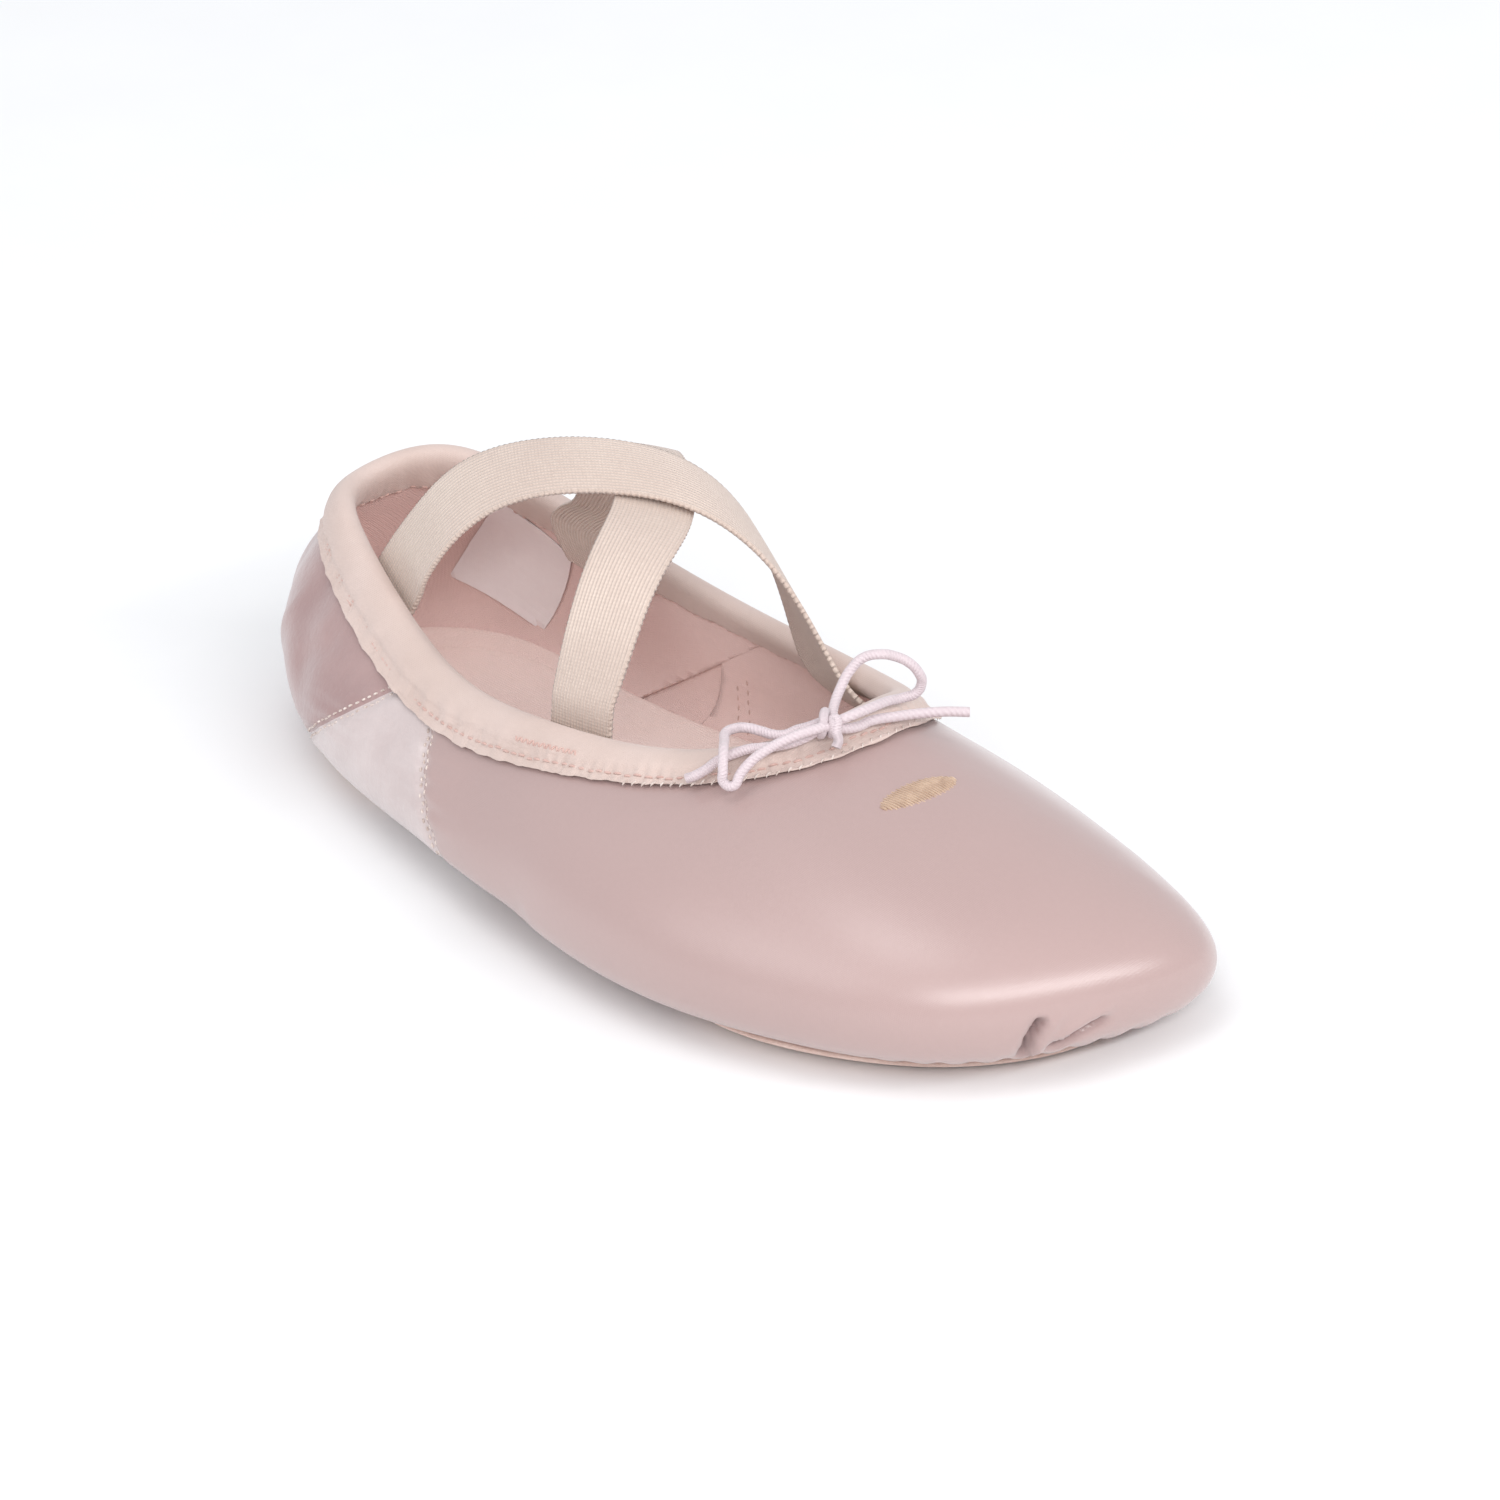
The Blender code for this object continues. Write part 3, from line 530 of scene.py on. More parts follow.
def delete_faces(piece, mask):
    """Removes the faces that the mask marks."""
    select_only(piece)
    bpy.ops.object.mode_set(mode="EDIT")
    bpy.ops.mesh.select_mode(type="FACE")
    bpy.ops.mesh.select_all(action="DESELECT")
    bpy.ops.object.mode_set(mode="OBJECT")
    piece.data.polygons.foreach_set("select", np.asarray(mask, dtype=bool))
    bpy.ops.object.mode_set(mode="EDIT")
    bpy.ops.mesh.delete(type="FACE")
    bpy.ops.object.mode_set(mode="OBJECT")


def cut_away(piece, point, normal):
    """Cuts a piece along a plane and removes the side that the normal points to."""
    select_only(piece)
    bpy.ops.object.mode_set(mode="EDIT")
    bpy.ops.mesh.select_all(action="SELECT")
    bpy.ops.mesh.bisect(plane_co=point, plane_no=normal, clear_outer=True, threshold=0.001 * MM)
    bpy.ops.object.mode_set(mode="OBJECT")


def apply_modifier(piece, kind, **settings):
    """Adds a modifier with its settings and applies it."""
    select_only(piece)
    modifier = piece.modifiers.new(kind.lower(), kind)
    for key, value in settings.items():
        setattr(modifier, key, value)
    bpy.ops.object.modifier_apply(modifier=modifier.name)


def smooth(piece, levels):
    apply_modifier(piece, "SUBSURF", levels=levels, render_levels=levels)
    piece.data.shade_smooth()


def dress(piece, material, slot, *nodes):
    """Gives a finished piece its cloth and its place in the model."""
    piece.data.materials.clear()
    piece.data.materials.append(material)
    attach(piece, "root")
    if nodes:
        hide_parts(*nodes)
    print(piece.name, len(piece.data.polygons), "faces")


# %% [markdown]
# The upper's wall has an outer skin and an inner one, joined by a narrow rim at the collar. The
# casing hides the rim, so it goes, and each face that looks at the slipper's middle line belongs
# to the lining. The satin gets three levels of subdivision, so that small folds can be pressed in.

# %% Outer skin and lining from the upper
RIM_WIDTH = 1.8 * MM
RIM_LEVEL = 0.5 * COLLAR_HEIGHT


def looks_inward(piece):
    """Marks the faces that look at the slipper's middle line."""
    centres = read(piece.data.polygons, "center")
    normals = read(piece.data.polygons, "normal")
    middle = centres.copy()
    middle[:, 0] = np.clip(centres[:, 0], -0.35 * LENGTH, 0.35 * LENGTH)
    middle[:, 1] = 0.1 * HALF_WIDTH
    middle[:, 2] = 0.4 * COLLAR_HEIGHT
    return ((middle - centres) * normals).sum(1) > 0.0


def is_rim(piece):
    """Marks the narrow faces along the collar's edge."""
    points = read(piece.data.vertices, "co")
    marked = []
    for face in piece.data.polygons:
        ring = points[list(face.vertices)]
        sides = np.linalg.norm(ring - np.roll(ring, 1, 0), axis=1)
        marked.append(sides.min() < RIM_WIDTH and face.center.z > RIM_LEVEL)
    return np.array(marked)


satin_skin = copy_node("upper", "satin_skin")
lining = duplicate(satin_skin, "lining")
delete_faces(satin_skin, looks_inward(satin_skin) | is_rim(satin_skin))
delete_faces(lining, ~looks_inward(lining) | is_rim(lining))
smooth(satin_skin, 3)
smooth(lining, 2)
print("outer skin", len(satin_skin.data.polygons), "faces, lining", len(lining.data.polygons))

# %% [markdown]
# Later steps lay stitches and folds along the collar, so its edge is read from the outer skin: the
# open edges high up, walked from one to the next into a closed line. Each point also keeps the
# skin's outward direction and the direction down the skin.

# %% The collar's edge as a line


def collar_line(piece):
    """The points and normals of a skin's upper open edge, in order round the collar."""
    shape = bmesh.new()
    shape.from_mesh(piece.data)
    edges = [edge for edge in shape.edges if edge.is_boundary and edge.verts[0].co.z > RIM_LEVEL]
    follow = {}
    for edge in edges:
        for vert, other in (edge.verts, reversed(edge.verts)):
            follow.setdefault(vert, []).append(other)
    start = min(follow, key=lambda vert: vert.co.x)
    line = [start]
    following = min(follow[start], key=lambda vert: vert.co.y)
    while following != start:
        line.append(following)
        following = next(vert for vert in follow[following] if vert != line[-2])
    points = np.array([list(vert.co) for vert in line])
    normals = np.array([list(vert.normal) for vert in line])
    shape.free()
    return points, normals


collar, collar_out = collar_line(satin_skin)
collar_way = np.roll(collar, -1, 0) - np.roll(collar, 1, 0)
collar_way /= np.linalg.norm(collar_way, axis=1, keepdims=True)
collar_down = np.cross(collar_way, collar_out)
collar_down /= np.linalg.norm(collar_down, axis=1, keepdims=True)
collar_down *= -np.sign(collar_down[:, 2:])
collar_run = np.concatenate([[0.0], np.cumsum(np.linalg.norm(np.diff(collar, axis=0), axis=1))])
COLLAR_ROUND = collar_run[-1] + np.linalg.norm(collar[0] - collar[-1])
print("collar of", len(collar), f"points, {COLLAR_ROUND / MM:.0f} mm round")


def collar_places(runs, drop, out):
    """Points at runs along the collar, each a drop down the skin and a step out from it."""
    closed = np.append(collar_run, COLLAR_ROUND)
    places = []
    for rows in (collar, collar_down, collar_out):
        rows = np.concatenate([rows, rows[:1]])
        places.append(np.stack([np.interp(runs % COLLAR_ROUND, closed, rows[:, axis])
                                for axis in range(3)], 1))
    line, down, outward = places
    return line + down * drop + outward * out


def run_near(point):
    """The run along the collar of the point nearest to a place."""
    return collar_run[np.argmin(np.linalg.norm(collar - np.array(point), axis=1))]


# %% [markdown]
# Folds and seams are pressed into the skins. A press follows a short line of points, given in
# shares of the slipper's sizes, and fades off on both sides as a bell curve: a positive depth
# makes a trough and a negative one a ridge.

# %% Presses


def distance_to_line(points, line):
    """Each point's distance to a line of points."""
    nearest = np.full(len(points), np.inf)
    for start, end in zip(line[:-1], line[1:]):
        run = end - start
        share = np.clip((points - start) @ run / (run @ run), 0.0, 1.0)
        nearest = np.minimum(nearest, np.linalg.norm(points - start - share[:, None] * run, axis=1))
    return nearest


def press(piece, line, width, depth):
    """Pushes a skin in along a line of shares, deepest on the line."""
    points = read(piece.data.vertices, "co")
    normals = read(piece.data.vertices, "normal")
    places = np.array([place(*share) for share in line])
    away = distance_to_line(points, places)
    points -= normals * (depth * np.exp(-(away / width) ** 2))[:, None]
    write_points(piece, points)


def plane_distance(points, point, normal):
    return (points - np.array(point)) @ np.array(normal)


# %% [markdown]
# ## The satin panels
#
# Three pieces of satin make the outside: the heel, the waist and the vamp. Two straight seams, each
# in one plane, part them. A seam pulls the cloth in, with small puckers beside it, so a groove is
# pressed along each plane before the skin is cut into its panels.

# %% Seams
REAR_SEAM_POINT = place(0.237, -0.70, 0.495)
REAR_SEAM_NORMAL = Vector((-0.57, 0.0, 0.82)).normalized()
WAIST_SEAM_POINT = place(0.368, -0.84, 0.387)
WAIST_SEAM_NORMAL = Vector((0.78, 0.0, 0.62)).normalized()
SEAM_WIDTH = 0.9 * MM
SEAM_DEPTH = 0.75 * MM
PUCKER_REACH = 5.0 * MM
PUCKER_HEIGHT = 0.22 * MM
PUCKER_PITCH = 5.5 * MM

points = read(satin_skin.data.vertices, "co")
normals = read(satin_skin.data.vertices, "normal")
behind_waist = plane_distance(points, WAIST_SEAM_POINT, WAIST_SEAM_NORMAL)
above_rear = plane_distance(points, REAR_SEAM_POINT, REAR_SEAM_NORMAL)
shift = np.zeros(len(points))
for away, allowed in ((above_rear, behind_waist < 0.0), (behind_waist, np.full(len(points), True))):
    along = points[:, 2] + 0.6 * points[:, 1]
    shift -= SEAM_DEPTH * np.exp(-(away / SEAM_WIDTH) ** 2) * allowed
    ripple = np.sin(2.0 * math.pi * along / PUCKER_PITCH + 2.0 * np.sin(along / PUCKER_PITCH))
    shift += PUCKER_HEIGHT * ripple * np.exp(-(away / PUCKER_REACH) ** 2) * allowed
write_points(satin_skin, points + normals * shift[:, None])
print("seams pressed")

# %% [markdown]
# The satin is drawn under the toe and pleated there, where it meets the suede. Two of the pleats
# come up over the toe's edge, deeper than the wall is thick, so the lining is pushed in behind them.
# The others fan out below it, one for each step round the toe. The heel has soft slanting dents and
# ridges, and wide shallow dents lie behind the ball.

# %% Folds of the satin
TOE_PLEATS = (
    (((0.972, -0.16, 0.30), (0.967, -0.19, 0.235), (0.956, -0.19, 0.13)), 1.0 * MM, 2.6 * MM),
    (((0.977, -0.11, 0.30), (0.975, -0.15, 0.22), (0.962, -0.15, 0.13)), 1.2 * MM, -1.0 * MM),
    (((0.990, 0.08, 0.245), (0.981, -0.01, 0.215), (0.970, -0.09, 0.165)), 1.0 * MM, 2.6 * MM),
    (((0.994, 0.10, 0.30), (0.988, 0.01, 0.265), (0.978, -0.07, 0.215)), 1.3 * MM, -1.0 * MM),
)
HEEL_DENTS = (
    (((0.13, -0.30, 0.80), (0.125, -0.48, 0.62), (0.15, -0.58, 0.45)), 5.0 * MM, 0.9 * MM),
    (((0.055, -0.15, 0.72), (0.045, -0.28, 0.50)), 5.0 * MM, 0.7 * MM),
    (((0.09, 0.45, 0.75), (0.07, 0.50, 0.50)), 6.0 * MM, 0.7 * MM),
    (((0.10, -0.45, 0.72), (0.075, -0.44, 0.52), (0.070, -0.38, 0.36)), 2.6 * MM, -0.5 * MM),
    (((0.17, -0.55, 0.62), (0.14, -0.56, 0.50)), 3.0 * MM, 0.5 * MM),
    (((0.16, 0.55, 0.70), (0.13, 0.58, 0.48)), 3.0 * MM, 0.6 * MM),
    (((0.012, 0.05, 0.75), (0.006, 0.00, 0.45)), 3.5 * MM, 0.4 * MM),
)
SIDE_DENTS = (
    (((0.42, -0.80, 0.50), (0.50, -0.93, 0.35)), 9.0 * MM, 0.5 * MM),
    (((0.60, 0.88, 0.45), (0.72, 0.96, 0.30)), 9.0 * MM, 0.5 * MM),
    (((0.46, -0.93, 0.12), (0.52, -0.97, 0.22)), 3.0 * MM, 0.6 * MM),
    (((0.44, 0.74, 0.15), (0.50, 0.82, 0.30)), 3.0 * MM, 0.6 * MM),
)
LINING_PRESS_WIDTH = 3.0 * MM
LINING_PRESS_DEPTH = 3.2 * MM
FAN_COUNT = 17
FAN_SPREAD = math.radians(150)

points = read(satin_skin.data.vertices, "co")
# The troughs of the deep toe pleats are also marked in an attribute named fold, which the cloth darkens
# toward a dark tone as painted shade.
fold = np.zeros(len(points))
for line, width, depth in TOE_PLEATS:
    if depth > 0.0:
        press(lining, line, LINING_PRESS_WIDTH, -LINING_PRESS_DEPTH)
        away = distance_to_line(points, np.array([place(*share) for share in line]))
        fold = np.maximum(fold, np.exp(-(away / width) ** 2))
satin_skin.data.attributes.new("fold", "FLOAT", "POINT").data.foreach_set("value", fold)
for line, width, depth in TOE_PLEATS + HEEL_DENTS + SIDE_DENTS:
    press(satin_skin, line, width, depth)

points = read(satin_skin.data.vertices, "co")
normals = read(satin_skin.data.vertices, "normal")
fan_middle = np.array(place(0.80, 0.20, 0.0))
reach = points - fan_middle
angle = np.arctan2(reach[:, 1], reach[:, 0])
low = np.clip((0.17 * COLLAR_HEIGHT - points[:, 2]) / (0.10 * COLLAR_HEIGHT), 0.0, 1.0)
inside = np.clip(1.0 - (np.abs(angle) / (0.5 * FAN_SPREAD)) ** 4, 0.0, 1.0) * (reach[:, 0] > 0.0)
wave = np.abs(np.sin(0.5 * FAN_COUNT * angle * 2.0 * math.pi / FAN_SPREAD)) ** 3
write_points(satin_skin, points - normals * (0.9 * MM * low * inside * wave)[:, None])
print("folds:", len(TOE_PLEATS), "toe pleats and", FAN_COUNT, "below them")

# %% [markdown]
# Now the skin is cut into its panels. The waist panel loses what lies before the waist seam and
# what lies above the rear seam.

# %% Cut the panels
vamp = duplicate(satin_skin, "vamp_panel")
waist = duplicate(satin_skin, "waist_panel")
heel = duplicate(satin_skin, "heel_panel")
cut_away(vamp, WAIST_SEAM_POINT, -WAIST_SEAM_NORMAL)
for panel in (waist, heel):
    cut_away(panel, WAIST_SEAM_POINT, WAIST_SEAM_NORMAL)
cut_away(waist, REAR_SEAM_POINT, REAR_SEAM_NORMAL)
cut_away(heel, REAR_SEAM_POINT, -REAR_SEAM_NORMAL)
dress(vamp, vamp_satin, "satin", "upper")
dress(waist, waist_satin, "satin", "upper")
dress(heel, heel_satin, "satin", "upper")

# %% [markdown]
# ## The collar casing
#
# The casing is a folded strip of cotton that holds the drawstring. Its stitches and the pull of the
# cord gather it a little. The gathers are small waves that are strongest at the stitch line and
# die out on the round crest. Each vertex finds its nearest collar point to know where it is.

# %% Casing
from mathutils.kdtree import KDTree

GATHER_DEPTH = 0.30 * MM
GATHER_PITCH = 9.0 * MM
LIP_WAVE = 0.35 * MM
CASING_STITCH_PITCH = 2.3 * MM
CASING_STITCH_DROP = 7.7 * MM
GROOVE_DEPTH = 0.34 * MM
DIVE_DEPTH = 0.15 * MM
GROOVE_WIDTH = 0.8 * MM

collar_tree = KDTree(len(collar))
for index, point in enumerate(collar):
    collar_tree.insert(point, index)
collar_tree.balance()

casing = copy_node("collar_binding", "casing")
smooth(casing, 3)
points = read(casing.data.vertices, "co")
normals = read(casing.data.vertices, "normal")
found = [collar_tree.find(point)[1:] for point in points]
run = np.array([collar_run[index] for index, gap in found])
drop = np.array([gap for index, gap in found])
wave = np.sin(2 * math.pi * run / GATHER_PITCH + 2.2 * np.sin(2 * math.pi * run / 41e-3))
wave += 0.6 * np.sin(2 * math.pi * run / (0.43 * GATHER_PITCH) + 3.0 * np.sin(2 * math.pi * run / 23e-3))
near_line = np.exp(-((drop - 7.2 * MM) / (2.6 * MM)) ** 2)
near_lip = np.clip((drop - 8.0 * MM) / (2.5 * MM), 0.0, 1.0)
lip_wave = np.sin(2 * math.pi * run / (0.8 * GATHER_PITCH) + 1.7 * np.sin(2 * math.pi * run / 33e-3))
shift = 0.6 * (GATHER_DEPTH * wave * near_line + LIP_WAVE * lip_wave * near_lip)
everywhere = np.arange(0.0, COLLAR_ROUND, 0.5 * MM)
outer_line = collar_places(everywhere, CASING_STITCH_DROP, 2.0 * MM)
groove_tree = KDTree(len(outer_line))
for index, point in enumerate(outer_line):
    groove_tree.insert(point, index)
groove_tree.balance()
found = [groove_tree.find(point)[1:] for point in points]
away = np.array([max(gap - 1.4 * MM, 0.0) for index, gap in found])
dive = np.array([math.cos(2.0 * math.pi * everywhere[index] / CASING_STITCH_PITCH) for index, gap in found])
shift -= (GROOVE_DEPTH + DIVE_DEPTH * dive) * np.exp(-(away / GROOVE_WIDTH) ** 2)
write_points(casing, points + normals * shift[:, None])
dress(casing, casing_cotton, "cotton_binding", "collar_binding")

# %% [markdown]
# ## Soles, sock and heel pad
#
# The suede patches and the sock are flat pieces whose edges are skived thin. Two levels of
# subdivision round their rims.

# %% Suede patches, insole and heel pad
for node, name, material, slot, levels in (
        ("forefoot_sole", "forefoot_suede", suede, "suede", 3),
        ("heel_sole", "heel_suede", suede, "suede", 3),
        ("insole", "sock", sock_cotton, "sock_lining", 2),
        ("heel_pad", "heel_sock", sock_cotton, "sock_lining", 3)):
    piece = copy_node(node, name)
    smooth(piece, levels)
    dress(piece, material, slot, node)

# %% [markdown]
# ## The lining
#
# Inside, the cotton lining is one skin with two overlays. The rear lining has a slanting front edge
# that runs up the wall from the sock, and the side lining starts at an upright edge before it. Both
# are cut from copies of the lining, moved in by their own thickness and given a wall.

# %% Lining and its overlays
REAR_LINING_POINT = place(0.305, 0.62, 0.22)
REAR_LINING_NORMAL = Vector((0.56, 0.0, -0.83)).normalized()
SIDE_LINING_POINT = place(0.375, 0.68, 0.4)
SIDE_LINING_NORMAL = Vector((-1.0, 0.12, 0.10)).normalized()
OVERLAY_WALL = 0.5 * MM


def overlay(name, point, normal, lift):
    """A second layer over the lining, on one side of a plane."""
    piece = duplicate(lining, name)
    cut_away(piece, point, normal)
    points = read(piece.data.vertices, "co")
    write_points(piece, points + read(piece.data.vertices, "normal") * lift)
    apply_modifier(piece, "SOLIDIFY", thickness=OVERLAY_WALL, offset=1.0)
    return piece


rear_lining = overlay("rear_lining", REAR_LINING_POINT, REAR_LINING_NORMAL, 0.15 * MM)
side_lining = overlay("side_lining", SIDE_LINING_POINT, SIDE_LINING_NORMAL, 0.10 * MM)
dress(lining, lining_cotton, "satin", "upper")
dress(rear_lining, lining_cotton, "satin")
dress(side_lining, lining_cotton, "satin")

# %% [markdown]
# ## Straps
#
# Each strap is woven elastic, 16 mm wide, with a scalloped edge on both sides. Its line comes from
# the solid strap, whose mesh is a row of four-cornered rings: each ring has two edges as long as
# the strap is wide, and their middles give its place and the way across.

# %% Helpers for straps
STRAP_WIDTH = 16.0 * MM
STRAP_THICKNESS = 0.9 * MM


def rings_of(node):
    """A strap's rings from its near end to its far end: middles and directions across."""
    shape = bmesh.new()
    shape.from_mesh(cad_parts[node].data)
    bmesh.ops.remove_doubles(shape, verts=shape.verts, dist=0.005 * MM)
    rings = []
    for edge in shape.edges:
        start, end = (np.array(vert.co) for vert in edge.verts)
        if abs(np.linalg.norm(end - start) - STRAP_WIDTH) > 0.01 * MM:
            continue
        middle = 0.5 * (start + end)
        side = (end - start) / STRAP_WIDTH
        side = side if side[0] > 0.0 else -side
        partner = next((ring for ring in rings if np.linalg.norm(ring[0] - middle) < 1.5 * MM), None)
        if partner is None:
            rings.append([middle, side, False])
        else:
            partner[0] = 0.5 * (partner[0] + middle)
            partner[2] = True
    shape.free()
    rings = [ring for ring in rings if ring[2]]
    ordered = [min(rings, key=lambda ring: ring[0][1])]
    left = [ring for ring in rings if ring is not ordered[0]]
    while left:
        following = min(left, key=lambda ring: np.linalg.norm(ring[0] - ordered[-1][0]))
        left = [ring for ring in left if ring is not following]
        ordered.append(following)
    print(node, "has", len(ordered), "rings")
    return np.array([ring[0] for ring in ordered]), np.array([ring[1] for ring in ordered])


def smooth_line(points, count):
    """A Catmull-Rom curve through points, read at even steps."""
    ends = np.concatenate([[2 * points[0] - points[1]], points, [2 * points[-1] - points[-2]]])
    places = np.linspace(0.0, len(points) - 1.0, count)
    index = np.minimum(places.astype(int), len(points) - 2)
    t = (places - index)[:, None]
    a, b, c, d = (ends[index + step] for step in range(4))
    return 0.5 * (2 * b + (c - a) * t + (2 * a - 5 * b + 4 * c - d) * t ** 2
                  + (3 * b - a - 3 * c + d) * t ** 3)


# %% [markdown]
# A flat grid is bent along that line. Its long edges are scalloped by the weft's turns, the middle
# sinks a little where the elastic cups, and the UV map keeps the flat strap's own metres for the
# material. The grid then gets its thickness.

# %% Straps
SCALLOP_PITCH = 1.2 * MM
SCALLOP_DEPTH = 0.10 * MM
CUPPING = 0.5 * MM
ALONG_STEPS = 560
ACROSS_STEPS = 24


def make_strap(node, name):
    middles, sides = rings_of(node)
    middle = smooth_line(middles, ALONG_STEPS + 1)
    side = smooth_line(sides, ALONG_STEPS + 1)
    side /= np.linalg.norm(side, axis=1, keepdims=True)
    facing = np.cross(side, np.gradient(middle, axis=0))
    facing /= np.linalg.norm(facing, axis=1, keepdims=True)
    travelled = np.concatenate([[0.0], np.cumsum(np.linalg.norm(np.diff(middle, axis=0), axis=1))])
    bpy.ops.object.select_all(action="DESELECT")
    bpy.ops.mesh.primitive_grid_add(x_subdivisions=ALONG_STEPS, y_subdivisions=ACROSS_STEPS, size=2.0)
    piece = bpy.context.object
    piece.name = name
    flat = read(piece.data.vertices, "co")
    step = np.rint((flat[:, 0] + 1.0) * 0.5 * ALONG_STEPS).astype(int)
    scallop = SCALLOP_DEPTH * np.cos(2.0 * math.pi * travelled[step] / SCALLOP_PITCH)
    across = flat[:, 1] * 0.5 * STRAP_WIDTH + np.sign(flat[:, 1]) * scallop * np.abs(flat[:, 1]) ** 30
    free = np.sin(math.pi * step / ALONG_STEPS)
    cup = CUPPING * (0.4 - flat[:, 1] ** 2) * free
    write_points(piece, middle[step] + side[step] * across[:, None] + facing[step] * cup[:, None])
    layer = piece.data.uv_layers.active or piece.data.uv_layers.new()
    corner = np.empty(len(piece.data.loops), dtype=np.int32)
    piece.data.loops.foreach_get("vertex_index", corner)
    flow = np.stack([travelled[step][corner], across[corner]], 1)
    layer.data.foreach_set("uv", flow.ravel())
    apply_modifier(piece, "SOLIDIFY", thickness=STRAP_THICKNESS, offset=0.0)
    piece.data.shade_smooth()
    dress(piece, elastic, "elastic", node)
    print(name, f"{travelled[-1] / MM:.0f} mm long")
    return piece


strap_over = make_strap("strap_over", "elastic_over")
strap_under = make_strap("strap_under", "elastic_under")

# %% [markdown]
# ## Stitches
#
# A stitch is a short thread that dives into the cloth at both ends. It is modelled once: a small
# sphere is stretched along X and its ends are bent down. Rows of stitches are copies of it in one
# mesh, each turned to its own direction on the cloth.

# %% One stitch, and rows of it
from mathutils.bvhtree import BVHTree

bpy.ops.object.select_all(action="DESELECT")
bpy.ops.mesh.primitive_uv_sphere_add(segments=8, ring_count=7, radius=0.5)
stitch = bpy.context.object
stitch.name = "one_stitch"
bpy.ops.transform.rotate(value=math.radians(90), orient_axis="Y", center_override=(0.0, 0.0, 0.0))
bpy.ops.object.transform_apply(rotation=True)
stitch_points = read(stitch.data.vertices, "co")
stitch_points[:, 2] -= 0.9 * (2.0 * stitch_points[:, 0]) ** 4
stitch_faces = [tuple(face.vertices) for face in stitch.data.polygons]
bpy.data.objects.remove(stitch)
print("one stitch has", len(stitch_faces), "faces")


def surface_of(piece):
    """A finished piece's surface, for finding the nearest place on it."""
    return BVHTree.FromPolygons([vert.co for vert in piece.data.vertices],
                                [tuple(face.vertices) for face in piece.data.polygons])


def settle(surface, points, reach=6.0 * MM):
    """The nearest places on a surface and its directions there."""
    found = [surface.find_nearest(Vector(point), reach) for point in points]
    kept = [(list(place), list(normal)) for place, normal, face, away in found if place is not None]
    return np.array([row[0] for row in kept]), np.array([row[1] for row in kept])


def stitch_rows(name, rows, thickness, material, slot):
    """One mesh of stitches. Each row is starts, ends and the cloth's outward directions."""
    blocks = []
    for starts, ends, outward in rows:
        for start, end, out in zip(starts, ends, outward):
            way = end - start
            length = np.linalg.norm(way)
            way = way / length
            side = np.cross(out, way)
            side /= np.linalg.norm(side)
            out = np.cross(way, side)
            scale = stitch_points * (length, thickness, thickness)
            blocks.append(0.5 * (start + end) + scale[:, :1] * way + scale[:, 1:2] * side
                          + scale[:, 2:] * out)
    count = len(stitch_points)
    mesh = bpy.data.meshes.new(name)
    faces = [tuple(index + number * count for index in face)
             for number in range(len(blocks)) for face in stitch_faces]
    mesh.from_pydata(np.concatenate(blocks).tolist(), [], faces)
    piece = bpy.data.objects.new(name, mesh)
    bpy.context.scene.collection.objects.link(piece)
    piece.data.shade_smooth()
    dress(piece, material, slot)
    return piece


def even_line(points, pitch):
    """A line's points read again at an even pitch."""
    run = np.concatenate([[0.0], np.cumsum(np.linalg.norm(np.diff(points, axis=0), axis=1))])
    wanted = np.arange(0.0, run[-1], pitch)
    return np.stack([np.interp(wanted, run, points[:, axis]) for axis in range(3)], 1)


def calm(rows, reach=3):
    """Rows averaged with their neighbours, so that a groove doesn't turn a stitch."""
    padded = np.pad(rows, ((reach, reach), (0, 0)), mode="edge")
    return sum(padded[step:step + len(rows)] for step in range(2 * reach + 1)) / (2 * reach + 1)


def dashes(surface, line, pitch, share=0.72, lift=0.0, across=0.0, slant=0.0):
    """Stitches along a line on a surface, each a share of the pitch long."""
    line = even_line(line, pitch)
    points, out = settle(surface, line)
    way = np.gradient(calm(points), axis=0)
    way /= np.linalg.norm(way, axis=1, keepdims=True)
    side = np.cross(calm(out), way)
    side /= np.linalg.norm(side, axis=1, keepdims=True)
    if across:
        points, out = settle(surface, points + side * across)
    out = calm(out)
    out /= np.linalg.norm(out, axis=1, keepdims=True)
    middle = points + out * lift
    half = 0.5 * share * pitch * way + slant * side
    return middle - half, middle + half, out


# %% [markdown]
# The casing is sewn down with one row of lockstitch all round, about 7 mm below the collar's edge,
# outside and inside. Its thread sinks into the cotton between the puckers. A bar tack, a dense
# zigzag, closes the casing where the drawstring goes in, and another holds the strap at the heel.

# %% Stitches of the casing
STITCH_THICKNESS = 0.50 * MM
THROAT_RUN = run_near(place(0.69, 0.0, 0.95))

casing_surface = surface_of(casing)
inner_row = collar_places(everywhere, 8.5 * MM, -3.2 * MM)
casing_rows = [dashes(casing_surface, outer_line, CASING_STITCH_PITCH, share=0.8, lift=0.12 * MM),
               dashes(casing_surface, inner_row, CASING_STITCH_PITCH)]


def zigzag(surface, line, pitch, height):
    """A bar tack: short threads that go up and down along a line."""
    points, out = settle(surface, even_line(line, pitch))
    way = np.gradient(points, axis=0)
    way /= np.linalg.norm(way, axis=1, keepdims=True)
    side = np.cross(out, way)
    swing = np.where(np.arange(len(points)) % 2 == 0, 0.5, -0.5)[:, None] * height
    corners = points + side * swing
    return corners[:-1], corners[1:], out[:-1]


